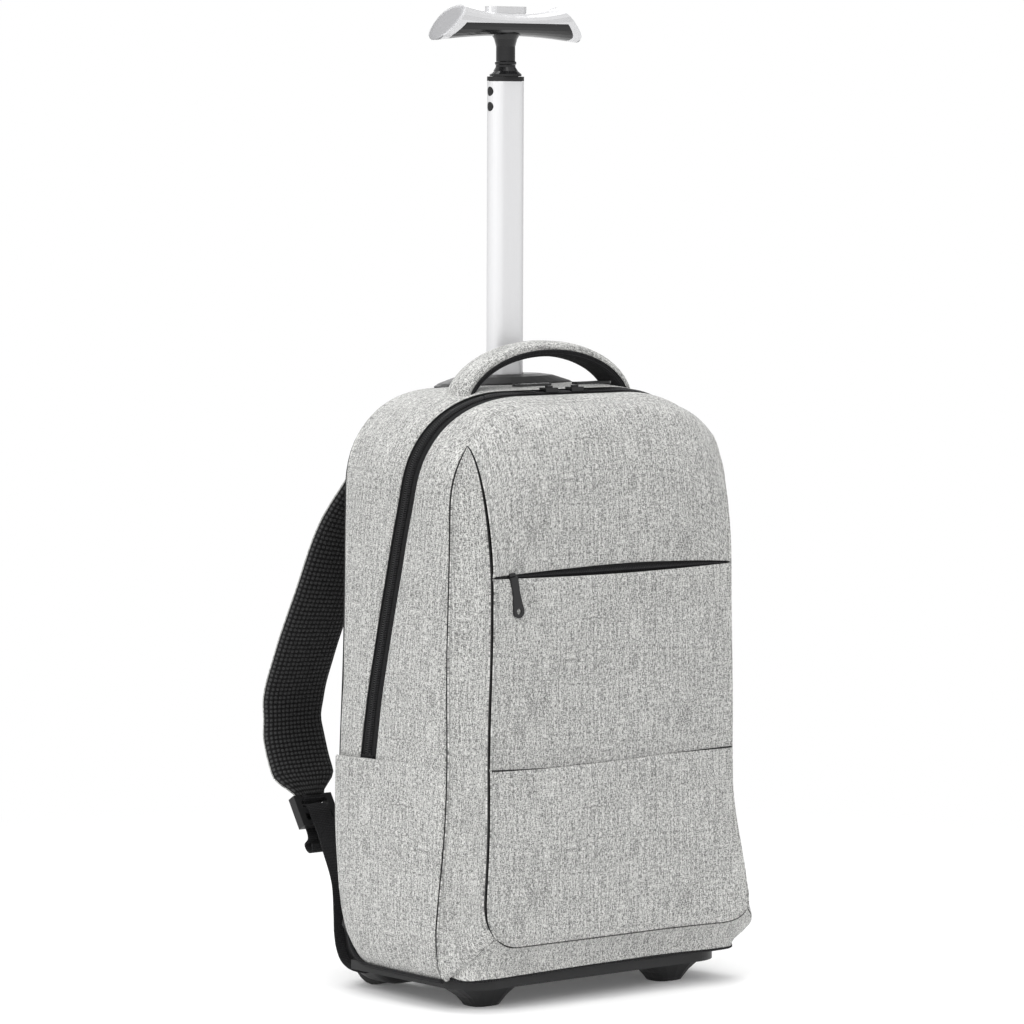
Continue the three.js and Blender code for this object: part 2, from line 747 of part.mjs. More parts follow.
// the neck under the grip: ferrule, bead ring and flare, with a spigot into the inner tube
function handleNeck() {
  const profile = [
    [0, COLLAR_TOP + GAP],
    [13.4, COLLAR_TOP + GAP],
    [13.4, 763],
    [10.5, 765.5],
    [8.3, 769],
    [8.3, 770.5],
    [9, 771.5],
    [9, 773],
    [8, 774],
    [8, 786],
    [9.6, 792],
    [12, 796],
    [12, NECK_TOP],
    [0, NECK_TOP],
  ];
  const turned = new THREE.LatheGeometry(profile.map(([r, z]) => new THREE.Vector2(r, z)), 28);
  turned.rotateX(Math.PI / 2).translate(0, POLE_Y, 0);
  const spigot = alongZ(poleSection(INNER_TUBE, -TUBE_WALL - GAP), 738, COLLAR_TOP + 1);
  return cut(solid(turned).add(spigot), rod(3, [0, POLE_Y, 700], [0, POLE_Y, 800], 16));
}
add("handle_neck", handleNeck(), "glossBlack");

const FLANGE = { low: 808.6, high: 810.4 };
add(
  "push_button",
  alongZ(racetrack(2 * BUTTON.halfLength, 2 * BUTTON.halfDepth, [0, POLE_Y]), FLANGE.low, BUTTON.top).add(
    alongZ(
      racetrack(2 * BUTTON.halfLength + 5, 2 * BUTTON.halfDepth + 4, [0, POLE_Y]),
      FLANGE.low,
      FLANGE.high,
    ),
  ),
  "satinShell",
);
add("push_rod", rod(2.4, [0, POLE_Y, 404.5], [0, POLE_Y, FLANGE.low - GAP], 12), "steel");

// the button's return spring, around the rod on top of the lower shell
class Helix extends THREE.Curve {
  getPoint(t, target = new THREE.Vector3()) {
    const turns = 2.5;
    const angle = t * turns * Math.PI * 2;
    return target.set(4.6 * Math.cos(angle), POLE_Y + 4.6 * Math.sin(angle), 805.5 + 2.3 * t);
  }
}
const coil = new THREE.Shape().absarc(0, 0, 0.45, 0, Math.PI * 2, false);
const springBody = new THREE.ExtrudeGeometry(coil, { extrudePath: new Helix(), steps: 40, curveSegments: 3 });
add("button_spring", solid(springBody), "steel");

export default group;
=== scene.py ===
"""Looks of a rolling laptop backpack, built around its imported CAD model.

Lengths in the modelling code are millimetres, in the frame of the CAD: +Z up, -Y the front,
+X to the right as seen from the front. Meshes are stored in metres.
"""

import json
import math

import bpy
import numpy as np
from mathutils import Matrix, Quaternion, Vector


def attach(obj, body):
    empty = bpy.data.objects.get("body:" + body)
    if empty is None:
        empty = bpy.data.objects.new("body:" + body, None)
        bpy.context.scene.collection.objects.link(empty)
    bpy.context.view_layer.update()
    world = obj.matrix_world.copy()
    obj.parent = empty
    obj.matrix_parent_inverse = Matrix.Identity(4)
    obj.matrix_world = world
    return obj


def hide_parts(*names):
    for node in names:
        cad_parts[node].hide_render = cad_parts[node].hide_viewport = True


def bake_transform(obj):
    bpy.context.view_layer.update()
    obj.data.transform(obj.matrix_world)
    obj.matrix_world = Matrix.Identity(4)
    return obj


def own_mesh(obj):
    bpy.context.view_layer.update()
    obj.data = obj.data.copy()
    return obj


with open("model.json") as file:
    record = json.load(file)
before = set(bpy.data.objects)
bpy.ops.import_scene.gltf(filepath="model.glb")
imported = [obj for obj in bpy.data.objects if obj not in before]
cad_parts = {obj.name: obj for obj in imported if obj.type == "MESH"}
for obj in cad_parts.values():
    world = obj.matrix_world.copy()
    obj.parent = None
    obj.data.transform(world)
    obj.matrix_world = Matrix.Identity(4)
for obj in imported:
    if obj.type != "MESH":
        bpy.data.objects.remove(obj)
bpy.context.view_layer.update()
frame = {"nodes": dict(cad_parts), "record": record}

MM = 0.001
SIDES = (("left", -1), ("right", 1))


# ------------------------------------------------------------------ camera and light

CAMERA_TARGET = Vector((0.0204, 0.0132, 0.3936))
CAMERA_DISTANCE = 4.286
CAMERA_AZIMUTH = math.radians(-39.77)
CAMERA_ELEVATION = math.radians(4.34)
CAMERA_ROLL = math.radians(0.19)
CAMERA_LENS = 177.8
BRIGHT_SIDE = (-0.75, -0.35, 0.6)
SKY_LIGHT = (0.3, 1.0)  # on the side away from BRIGHT_SIDE, and towards it
WHITE = (1, 1, 1, 1)


def make_camera():
    data = bpy.data.cameras.new("camera")
    data.lens = CAMERA_LENS
    data.sensor_width = 36
    data.clip_end = 50
    camera = bpy.data.objects.new("camera", data)
    bpy.context.collection.objects.link(camera)
    back = Vector((
        math.sin(CAMERA_AZIMUTH) * math.cos(CAMERA_ELEVATION),
        -math.cos(CAMERA_AZIMUTH) * math.cos(CAMERA_ELEVATION),
        math.sin(CAMERA_ELEVATION),
    ))
    camera.location = CAMERA_TARGET + back * CAMERA_DISTANCE
    camera.rotation_mode = "QUATERNION"
    roll = Quaternion(back, CAMERA_ROLL)
    camera.rotation_quaternion = roll @ (-back).to_track_quat("-Z", "Y")
    bpy.context.scene.camera = camera


def area_light(name, location, target, size, power):
    data = bpy.data.lights.new(name, "AREA")
    data.shape = "RECTANGLE"
    data.size, data.size_y = size
    data.energy = power
    light = bpy.data.objects.new(name, data)
    light.location = location
    aim = Vector(target) - Vector(location)
    light.rotation_euler = aim.to_track_quat("-Z", "Y").to_euler()
    bpy.context.collection.objects.link(light)


def make_world():
    """A white room to the camera, and a light that fades away from the bright side to the rest."""
    world = bpy.data.worlds.new("studio")
    world.use_nodes = True
    tree = world.node_tree
    white = tree.nodes["Background"]
    white.inputs["Color"].default_value = WHITE
    white.inputs["Strength"].default_value = 1.0
    soft = tree.nodes.new("ShaderNodeBackground")
    soft.inputs["Color"].default_value = WHITE
    direction = tree.nodes.new("ShaderNodeTexCoord")
    towards = tree.nodes.new("ShaderNodeVectorMath")
    towards.operation = "DOT_PRODUCT"
    towards.inputs[1].default_value = Vector(BRIGHT_SIDE).normalized()
    level = tree.nodes.new("ShaderNodeMapRange")
    level.inputs["From Min"].default_value = -1.0
    level.inputs["From Max"].default_value = 1.0
    level.inputs["To Min"].default_value = SKY_LIGHT[0]
    level.inputs["To Max"].default_value = SKY_LIGHT[1]
    ray = tree.nodes.new("ShaderNodeLightPath")
    mix = tree.nodes.new("ShaderNodeMixShader")
    link = tree.links.new
    link(direction.outputs["Generated"], towards.inputs[0])
    link(towards.outputs["Value"], level.inputs["Value"])
    link(level.outputs["Result"], soft.inputs["Strength"])
    link(ray.outputs["Is Camera Ray"], mix.inputs[0])
    link(soft.outputs[0], mix.inputs[1])
    link(white.outputs[0], mix.inputs[2])
    link(mix.outputs[0], tree.nodes["World Output"].inputs["Surface"])
    bpy.context.scene.world = world
    bpy.context.scene.view_settings.view_transform = "Standard"


make_camera()
make_world()
area_light("key", (-2.6, -0.9, 2.4), (0, 0, 0.35), (1.4, 1.4), 42)
area_light("front", (-0.4, -3.4, 2.6), (0, 0, 0.4), (1.6, 1.6), 24)
area_light("top", (0.1, 0.1, 3.2), (0, 0, 0), (2.4, 2.4), 46)
area_light("back", (1.8, 2.8, 2.0), (0, 0, 0.4), (1.6, 1.6), 20)

# ------------------------------------------------------------------ materials


class Nodes:
    """A short way to write a shader: each call adds one node and returns its output."""

    def __init__(self, name):
        self.material = bpy.data.materials.new(name)
        self.material.use_nodes = True
        self.tree = self.material.node_tree
        self.shader = self.tree.nodes["Principled BSDF"]

    def put(self, socket, value):
        if isinstance(value, bpy.types.NodeSocket):
            self.tree.links.new(value, socket)
        elif hasattr(socket.default_value, "__len__") and np.ndim(value) == 1 and len(value) == 3:
            socket.default_value = (*value, 1) if len(socket.default_value) == 4 else value
        else:
            socket.default_value = value

    def add(self, kind, out=0, settings=None, **inputs):
        node = self.tree.nodes.new(kind)
        for key, value in (settings or {}).items():
            setattr(node, key, value)
        for key, value in inputs.items():
            self.put(node.inputs[int(key[1:]) if key[1:].isdigit() else key.replace("_", " ")], value)
        return node.outputs[out]

    def math(self, operation, a, b=0.0):
        return self.add("ShaderNodeMath", settings={"operation": operation}, i0=a, i1=b)

    def total(self, *terms):
        """The sum of (value, weight) terms."""
        weighted = [self.math("MULTIPLY", value, weight) for value, weight in terms]
        result = weighted[0]
        for term in weighted[1:]:
            result = self.math("ADD", result, term)
        return result

    def scaled(self, vector, scale):
        return self.add(
            "ShaderNodeVectorMath", settings={"operation": "MULTIPLY"}, i0=vector, i1=Vector(scale)
        )

    def noise(self, vector, scale=1.0, detail=2.0, rough=0.5):
        return self.add("ShaderNodeTexNoise", Vector=vector, Scale=scale, Detail=detail, Roughness=rough)

    def ramp(self, value, low, high):
        return self.add(
            "ShaderNodeMapRange", settings={"interpolation_type": "SMOOTHSTEP"},
            Value=value, From_Min=low, From_Max=high,
        )

    def mix(self, factor, a, b):
        node = self.tree.nodes.new("ShaderNodeMix")
        node.data_type = "RGBA"
        self.put(node.inputs[0], factor)
        self.put(node.inputs[6], a)
        self.put(node.inputs[7], b)
        return node.outputs[2]

    def bump(self, height, distance, strength=1.0):
        self.put(
            self.shader.inputs["Normal"],
            self.add("ShaderNodeBump", Height=height, Distance=distance, Strength=strength),
        )

    def set(self, **inputs):
        for key, value in inputs.items():
            self.put(self.shader.inputs[key.replace("_", " ")], value)


def cloth_uv(n):
    """Cloth coordinates in millimetres: x across the warp, y along it."""
    return n.scaled(n.add("ShaderNodeUVMap"), (1000, 1000, 1000))


def heather_material():
    """Light grey melange weave: pale and dark threads, slubs along both directions."""
    n = Nodes("heather_fabric")
    uv = cloth_uv(n)
    warp = n.noise(n.scaled(uv, (1.25, 0.3, 1)), detail=2.0, rough=0.6)
    weft = n.noise(n.scaled(uv, (0.32, 1.25, 1)), detail=2.0, rough=0.6)
    fleck = n.noise(n.scaled(uv, (0.95, 0.95, 1)), detail=2.0, rough=0.65)
    slub = n.noise(n.scaled(uv, (0.5, 0.035, 1)), detail=2.0)
    cross = n.noise(n.scaled(uv, (0.035, 0.5, 1)), detail=2.0)
    cloud = n.noise(n.scaled(uv, (0.014, 0.014, 1)), detail=2.0)
    slub, cross, cloud = (n.math("SUBTRACT", noise, 0.5) for noise in (slub, cross, cloud))
    threads = n.total(
        (warp, 0.4), (weft, 0.24), (fleck, 0.36), (slub, 0.17), (cross, 0.07), (cloud, 0.04)
    )
    tone = n.ramp(threads, 0.405, 0.6)
    colour = n.mix(tone, (0.13, 0.13, 0.127), (0.66, 0.66, 0.64))
    knots = n.ramp(n.noise(n.scaled(uv, (0.7, 0.6, 1)), detail=1.0), 0.66, 0.72)
    colour = n.mix(n.math("MULTIPLY", knots, 0.6), colour, (0.07, 0.07, 0.07))
    ribs = weave_height(n, uv, 0.62)
    height = n.total((ribs, 0.5), (threads, 1.0))
    n.set(
        Base_Color=colour, Roughness=0.92, Sheen_Weight=0.25, Sheen_Roughness=0.5, Specular_IOR_Level=0.15
    )
    n.bump(height, 0.0004, 0.55)
    return n.material


def weave_height(n, uv, pitch):
    """Height of a plain weave whose threads lie pitch millimetres apart."""
    waves = []
    for axis in ("X", "Y"):
        waves.append(n.add(
            "ShaderNodeTexWave", 1,
            settings={"wave_type": "BANDS", "bands_direction": axis, "wave_profile": "SIN"},
            Vector=uv, Scale=math.pi / 10 / pitch, Distortion=0.0,
        ))
    return n.math("MULTIPLY", waves[0], waves[1])


def woven_black(name, tone, pitch, bump=0.0004):
    """Black woven cloth, webbing or tape, with its weave painted lighter on the crests and darker in the
    hollows as painted highlight and shade.
    """
    n = Nodes(name)
    uv = cloth_uv(n)
    ribs = weave_height(n, uv, pitch)
    dust = n.noise(n.scaled(uv, (0.5, 0.5, 1)), detail=3.0)
    # painted highlight and shade: colour follows the weave's height, lighter on the crests and darker in
    # the hollows, plus random dust-like tone
    light = n.math("MULTIPLY", n.math("ADD", ribs, dust), 0.6)
    colour = n.mix(light, tuple(0.4 * c for c in tone), tuple(1.8 * c for c in tone))
    n.set(Base_Color=colour, Roughness=0.85, Sheen_Weight=0.05, Specular_IOR_Level=0.15)
    n.bump(ribs, bump, 0.8)
    return n.material


def air_mesh_material():
    """Knitted spacer mesh: rows of raised knots painted lighter as a highlight on their tops, with the gaps
    between them painted near black as shade.
    """
    n = Nodes("air_mesh")
    uv = cloth_uv(n)
    cells = n.add(
        "ShaderNodeTexVoronoi", settings={"feature": "F1"}, Vector=uv, Scale=0.25, Randomness=0.1
    )
    gap = n.ramp(cells, 0.2, 0.5)
    fuzz = n.noise(uv, scale=1.4, detail=3.0)
    # painted highlight: the knots are lighter than the black yarn, as if lit on their tops
    knot_tone_and_highlight = n.mix(fuzz, (0.012, 0.012, 0.012), (0.075, 0.075, 0.077))
    # painted shade: the gaps between the knots are near black; the same gap mask also gives the real relief
    # in the bump below
    colour = n.mix(gap, knot_tone_and_highlight, (0.001, 0.001, 0.001))
    n.set(Base_Color=colour, Roughness=0.75, Sheen_Weight=0.05, Specular_IOR_Level=0.25)
    n.bump(n.math("SUBTRACT", 1.0, gap), 0.0012, 0.9)
    return n.material


def object_mm(n):
    return n.scaled(n.add("ShaderNodeTexCoord", 3), (1000, 1000, 1000))


def plastic_material(name, colour, rough, grain, coat=0.0):
    """Moulded plastic: fine spark-eroded grain, slightly uneven in tone and gloss."""
    n = Nodes(name)
    place = object_mm(n)
    fine = n.noise(place, scale=2.2, detail=3.0)
    broad = n.noise(place, scale=0.05, detail=3.0)
    tone = n.mix(n.math("MULTIPLY", broad, 0.5), colour, tuple(1.7 * c + 0.004 for c in colour))
    roughness = n.math("ADD", rough - 0.08, n.math("MULTIPLY", broad, 0.16))
    n.set(
        Base_Color=tone, Roughness=roughness, Coat_Weight=coat, Coat_Roughness=0.08,
        Specular_IOR_Level=0.3,
    )
    n.bump(fine, 0.0002, grain)
    return n.material


def metal_material(name, colour, rough, brushing, metallic=1.0):
    """Anodised or brushed metal with fine lines along the brushing direction."""
    n = Nodes(name)
    place = object_mm(n)
    lines = n.noise(n.scaled(place, brushing), detail=3.0)
    tone = n.mix(lines, tuple(0.94 * c for c in colour), colour)
    roughness = n.math("ADD", rough - 0.05, n.math("MULTIPLY", lines, 0.1))
    n.set(Base_Color=tone, Roughness=roughness, Metallic=metallic)
    n.bump(lines, 0.00002, 0.1)
    return n.material


LOOK = {
    "heather_fabric": heather_material(),
    "lining_fabric": woven_black("lining_fabric", (0.03, 0.03, 0.032), 0.45),
    "air_mesh": air_mesh_material(),
    "webbing": woven_black("webbing", (0.014, 0.014, 0.015), 1.6, bump=0.001),
    "zip_tape": woven_black("zip_tape", (0.01, 0.01, 0.0105), 0.8),
    "thread": woven_black("seam_thread", (0.02, 0.02, 0.02), 0.9),
    "black_plastic": plastic_material("black_plastic", (0.012, 0.012, 0.0125), 0.42, 0.35),
    "gloss_black": plastic_material("gloss_black", (0.007, 0.007, 0.0075), 0.2, 0.05, coat=0.25),
    "coil": plastic_material("zip_coil", (0.014, 0.014, 0.015), 0.3, 0.1),
    "tube_aluminium": metal_material("tube_aluminium", (0.8, 0.8, 0.81), 0.32, (1.5, 1.5, 0.02), 0.45),
    "grip_silver": metal_material("grip_silver", (0.72, 0.72, 0.73), 0.26, (0.02, 0.8, 0.8), 0.55),
    "brushed_cap": metal_material("brushed_cap", (0.42, 0.42, 0.43), 0.35, (0.1, 2.5, 0.1), 0.6),
    "steel": metal_material("steel", (0.55, 0.55, 0.56), 0.3, (0.05, 2, 2)),
    "tyre": plastic_material("tyre", (0.02, 0.02, 0.02), 0.7, 0.6),
}

# ------------------------------------------------------------------ mesh helpers


def make_object(name, points, faces, look, body, replaces=(), uv=None, smooth=True):
    """A mesh piece that rides on a body; points are millimetres, uv is one pair a point in metres."""
    mesh = bpy.data.meshes.new(name)
    mesh.from_pydata((np.asarray(points, float) * MM).tolist(), [], [list(f) for f in faces])
    if uv is not None:
        layer = mesh.uv_layers.new(name="cloth")
        corner = np.zeros(len(mesh.loops), int)
        mesh.loops.foreach_get("vertex_index", corner)
        layer.data.foreach_set("uv", np.asarray(uv, float)[corner].ravel())
    mesh.polygons.foreach_set("use_smooth", [smooth] * len(mesh.polygons))
    mesh.update()
    mesh.materials.append(LOOK[look])
    piece = bpy.data.objects.new(name, mesh)
    bpy.context.collection.objects.link(piece)
    if body:
        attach(piece, body)
    if replaces:
        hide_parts(*replaces)
    return piece


def run_of(points):
    """Running length along a row of points."""
    return np.concatenate([[0], np.cumsum(np.linalg.norm(np.diff(points, axis=0), axis=1))])


def lengths(points, axis):
    """Running length along an axis of a grid of points."""
    step = np.linalg.norm(np.diff(points, axis=axis), axis=-1)
    pad = [(0, 0), (0, 0)]
    pad[axis] = (1, 0)
    return np.cumsum(np.pad(step, pad), axis=axis)


def normals_of(grid):
    """Unit normals of a grid, along (step of columns) x (step of rows)."""
    down = np.gradient(grid, axis=0)
    across = np.gradient(grid, axis=1)
    normal = np.cross(across, down)
    return normal / np.maximum(np.linalg.norm(normal, axis=-1, keepdims=True), 1e-9)


def sheet_data(grid, thickness):
    """Points, faces and uv of a closed thin sheet below a grid of outer points."""
    rows, cols = grid.shape[:2]
    inner = grid - normals_of(grid) * thickness
    points = np.concatenate([grid.reshape(-1, 3), inner.reshape(-1, 3)])
    i, j = np.meshgrid(np.arange(rows - 1), np.arange(cols - 1), indexing="ij")
    a = (i * cols + j).ravel()
    quads = np.stack([a, a + 1, a + cols + 1, a + cols], axis=1)
    size = rows * cols
    rim = np.concatenate([
        np.arange(cols),
        np.arange(1, rows) * cols + cols - 1,
        (rows - 1) * cols + np.arange(cols - 2, -1, -1),
        np.arange(rows - 2, 0, -1) * cols,
    ])
    after = np.roll(rim, -1)
    edge = np.stack([rim, rim + size, after + size, after], axis=1)
    faces = np.concatenate([quads, quads[:, ::-1] + size, edge])
    across, along = lengths(grid, 1), lengths(grid, 0)
    across = across - across[:, cols // 2:cols // 2 + 1]
    uv = np.stack([across, along], axis=-1).reshape(-1, 2) * MM
    return points, faces, np.concatenate([uv, uv])


def steps(length, pitch=5.0):
    """Values from 0 to 1 about pitch apart, closer together at the sewn ends."""
    close = np.array([0.0, 0.8, 1.8, 3.2, 5.0])
    inner = np.linspace(5.0, length - 5.0, max(int(length / pitch), 2) + 1)
    return np.unique(np.concatenate([close, inner, length - close]) / length)


def sewn(grid, edges="NSWE", depth=1.8, reach=4.5):
    """Turns the named edges of a panel inwards, as cloth does where it is sewn.
    N is the first row, S the last, W the first column and E the last."""
    along, across = lengths(grid, 0), lengths(grid, 1)
    far = np.full(grid.shape[:2], 1e3)
    if "N" in edges:
        far = np.minimum(far, along)
    if "S" in edges:
        far = np.minimum(far, along[-1:] - along)
    if "W" in edges:
        far = np.minimum(far, across)
    if "E" in edges:
        far = np.minimum(far, across[:, -1:] - across)
    near = np.clip(1 - far / reach, 0, 1)
    drop = depth * (1 - np.sqrt(np.maximum(1 - near ** 2, 0)))
    return grid - normals_of(grid) * drop[..., None]


def smoothstep(value, low, high):
    """Eases from 0 at low to 1 at high."""
    t = np.clip((np.asarray(value, float) - low) / (high - low), 0, 1)
    return t * t * (3 - 2 * t)


def spline(keys, value):
    """A smooth curve through (position, value) pairs, read at the given positions."""
    x, y = np.array(keys, float).T
    order = np.argsort(x)
    x, y = x[order], y[order]
    slope = np.gradient(y, x)
    value = np.clip(value, x[0], x[-1])
    i = np.clip(np.searchsorted(x, value) - 1, 0, len(x) - 2)
    h = x[i + 1] - x[i]
    t = (value - x[i]) / h
    return (
        (2 * t ** 3 - 3 * t ** 2 + 1) * y[i] + (t ** 3 - 2 * t ** 2 + t) * h * slope[i]
        + (-2 * t ** 3 + 3 * t ** 2) * y[i + 1] + (t ** 3 - t ** 2) * h * slope[i + 1]
    )


def tube_data(path, radius, sides=8, closed=False):
    """Points and faces of a round cord along a path, with closed ends."""
    path = np.asarray(path, float)
    count = len(path)
    ahead = np.roll(path, -1, 0) - np.roll(path, 1, 0)
    if not closed:
        ahead[0], ahead[-1] = path[1] - path[0], path[-1] - path[-2]
    tangent = ahead / np.linalg.norm(ahead, axis=1, keepdims=True)
    up = np.cross(tangent[0], (0.3, 0.5, 0.81))
    frames = []
    for t in tangent:
        up = up - t * (up @ t)
        up = up / np.linalg.norm(up)
        frames.append((up, np.cross(t, up)))
    angle = np.arange(sides) / sides * 2 * math.pi
    radii = np.broadcast_to(radius, (count,))
    points = [
        p + r * (np.outer(np.cos(angle), a) + np.outer(np.sin(angle), b))
        for p, r, (a, b) in zip(path, radii, frames)
    ]
    faces = []
    for i in range(count if closed else count - 1):
        k = (i + 1) % count
        for j in range(sides):
            m = (j + 1) % sides
            faces.append((i * sides + j, i * sides + m, k * sides + m, k * sides + j))
    if not closed:
        faces += end_faces(count, sides)
    return np.concatenate(points), faces


def end_faces(count, sides):
    """The two faces that close a tube of count rings."""
    return [tuple(range(sides))[::-1], tuple((count - 1) * sides + j for j in range(sides))]


def loft_data(rings):
    """Points and faces of a closed form through rings of equal counts."""
    rings = np.asarray(rings, float)
    count, sides = rings.shape[:2]
    faces = []
    for i in range(count - 1):
        for j in range(sides):
            m = (j + 1) % sides
            faces.append((i * sides + j, i * sides + m, (i + 1) * sides + m, (i + 1) * sides + j))
    return rings.reshape(-1, 3), faces + end_faces(count, sides)


def joined(parts):
    """Several (points, faces) pairs as one."""
    points, faces, start = [], [], 0
    for p, f in parts:
        points.append(np.asarray(p, float))
        faces += [tuple(int(i) + start for i in face) for face in f]
        start += len(p)
    return np.concatenate(points), faces


# ------------------------------------------------------------------ shape of the bag

BASE_Z = 25.5
BAG_CENTRE = np.array([0.0, 0.0, 260.0])
CORNER = (95.0, 82.0)  # width and height of the rounded upper corners
CORNER_POWER = 2.25
REAR_HEEL = 29.0  # radius of the lower rear edge
WALL_LENGTH = 392.0
CORNER_LENGTH = 141.0
TOP_LENGTH = 110.0
ARCH_LENGTH = 2 * (WALL_LENGTH + CORNER_LENGTH) + TOP_LENGTH
FLAP_Z = 200.0  # the front folds down about this height

_angle = np.linspace(0, math.pi / 2, 200)
_corner = np.stack([
    CORNER[0] * (1 - np.cos(_angle) ** (2 / CORNER_POWER)),
    CORNER[1] * np.sin(_angle) ** (2 / CORNER_POWER),
])
_run = run_of(_corner.T)
_run = _run / _run[-1] * CORNER_LENGTH

# (y, value) pairs for the width and top, (z, value) pairs for the side's bulge
HALF_WIDTH = ((-115, 149.0), (-80, 150.5), (-30, 150.5), (28, 147.5))
TOP_Z = ((-115, 488.5), (-100, 494.5), (-84, 499.0), (-70, 501.5), (-30, 503.0), (28, 500.5))
SIDE_BULGE = ((20, -5.0), (59, 2.0), (117, 5.5), (190, 5.0), (243, 3.5), (320, 0.5), (500, 0.0))


def arch_point(s, y):
    """The bag's skin: s runs up the left side, over the top and down the right side."""
    s, y = np.broadcast_arrays(np.asarray(s, float), np.asarray(y, float))
    half = spline(HALF_WIDTH, y)
    top = spline(TOP_Z, y)
    side = np.where(s < ARCH_LENGTH / 2, -1.0, 1.0)
    r = np.minimum(s, ARCH_LENGTH - s)
    shoulder = top - CORNER[1]
    on_corner = np.clip(r - WALL_LENGTH, 0, CORNER_LENGTH)
    dx = np.interp(on_corner, _run, _corner[0])
    dz = np.interp(on_corner, _run, _corner[1])
    wall = np.clip(r / WALL_LENGTH, 0, 1)
    z = BASE_Z + wall * (shoulder - BASE_Z) + dz
    flat = np.clip(r - WALL_LENGTH - CORNER_LENGTH, 0, None)
    bulge = spline(SIDE_BULGE, z) * smoothstep(y, -105, 25)
    heel = REAR_HEEL * (1 - np.sqrt(1 - np.clip((y - 28 + REAR_HEEL) / REAR_HEEL, 0, 0.995) ** 2))
    z = z + heel * np.clip(1 - (z - BASE_Z) / 62, 0, 1)
    x = side * (half + bulge - dx - flat * (half - CORNER[0]) / (TOP_LENGTH / 2))
    return np.stack([x, y, z], axis=-1)


def height_of(s):
    return arch_point(s, -60.0)[..., 2]


SEAM_1 = (
    (20, -108), (40, -100), (60, -98), (92, -101), (140, -105.5), (199, -108.3),
    (338, -109.3), (419, -112.0), (455, -112.0), (490, -112),
)
ZIP_LINE = (
    (196, -10.5), (248, -17), (299, -28), (350, -39.5), (382, -47), (424, -59), (458, -66),
    (478, -70), (492, -73.5), (502, -76),
)


def seam_1_y(s):
    return spline(SEAM_1, height_of(s))


def zip_y(s):
    return spline(ZIP_LINE, height_of(s))


def slump(points):
    """The soft sag of the whole bag: a fuller lower right corner and slight waves."""
    p = np.asarray(points, float).copy()
    x, y, z = p[..., 0], p[..., 1], p[..., 2]
    front = smoothstep(-y, 40, 130)
    low_right = front * smoothstep(x, 40, 135) * smoothstep(175 - z, 0, 118)
    low_right = low_right * (0.35 + 0.65 * smoothstep(z, 22, 46))
    p[..., 0] += 12 * low_right
    p[..., 1] -= 7 * low_right * smoothstep(-y, 95, 140)
    puff = np.exp(-((z - 50) / 17) ** 2 - ((x - 136) / 26) ** 2) * smoothstep(-y, 90, 125)
    p[..., 0] += 9 * puff
    p[..., 1] -= 6 * puff
    low_left = front * smoothstep(-x, 60, 140) * np.exp(-((z - 75) / 45) ** 2)
    p[..., 0] -= 2.0 * low_left
    wave = np.sin(x / 31 + z / 53) * np.sin(z / 47 - y / 39 + 1.0)
    p[..., 1] += 0.9 * wave * smoothstep(-y, 100, 140)
    p[..., 0] += 0.8 * wave * np.sign(x) * smoothstep(np.abs(x), 120, 148)
    return p


def sunk(points, share):
    """Points moved some of the way to the middle of the bag; share is per axis."""
    return points + (np.array([0, 0, 300.0]) - points) * share


def wrinkle(grid, creases):
    """Pushes a panel in or out along creases: (start, end, width, height), all in millimetres."""
    normal = normals_of(grid)
    lift = np.zeros(grid.shape[:2])
    for start, end, width, height in creases:
        a, b = np.array(start, float), np.array(end, float)
        along = np.clip(((grid - a) @ (b - a)) / ((b - a) @ (b - a)), 0, 1)
        gap = np.linalg.norm(grid - (a + along[..., None] * (b - a)), axis=-1)
        fade = np.sin(np.clip(along * 0.9 + 0.05, 0, 1) * math.pi) ** 0.7
        lift += height * fade * np.exp(-(gap / width) ** 2)
    return grid + normal * lift[..., None]


FABRIC = 1.3


def placed(name, data, look, body, blend, replaces=()):
    """A piece on a body, or, for one across the fold of the front flap, a piece on no body with its placing
    baked in.
    """
    points, faces, *uv = data
    piece = make_object(name, points, faces, look, None if blend else body, replaces, *uv)
    if blend:
        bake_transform(piece)
    return piece


def fabric(name, grid, look="heather_fabric", body="bag", replaces=(), blend=False, thickness=FABRIC):
    """A cloth panel from a grid of outer points, top row first, left column first."""
    return placed(name, sheet_data(grid, thickness), look, body, blend, replaces)


def cord_line(name, path, radius, look="thread", body="bag", blend=False, closed=False):
    """A seam, piping or binding along a path."""
    points, faces = tube_data(path, radius, 6, closed)
    uv = np.stack([points[:, 0] + points[:, 1], points[:, 2]], axis=1) * MM
    placed(name, (points, faces, uv), look, body, blend)


def cut_box(piece, low, high):
    """Cuts a box out of a piece, for something that passes through it."""
    low, high = Vector(low) * MM, Vector(high) * MM
    bpy.ops.mesh.primitive_cube_add(size=1, location=(low + high) / 2, scale=high - low)
    cut_with(piece, bpy.context.object)


def cut_with(piece, cutter):
    """Cuts another mesh's shape out of a piece and removes the other."""
    cut = piece.modifiers.new("cut", "BOOLEAN")
    cut.object = cutter
    cut.solver = "EXACT"
    bpy.context.view_layer.objects.active = piece
    bpy.ops.object.modifier_apply(modifier="cut")
    bpy.data.objects.remove(cutter)
    look = piece.data.materials[0]
    piece.data.materials.clear()
    piece.data.materials.append(look)


# ------------------------------------------------------------------ front of the bag

FACE_Y = -142.0  # the flat front
SLOT_Z = 356.0  # the pocket zip
JUNCTION_Z = 461.0  # where the front's side seams meet the seam round the body
SEAM_REAR_Y = -112.0
SLIP_HALF = 132.4  # half width of the slip pocket's hem
LIP_HALF = 128.4  # half width of the pocket zip's opening


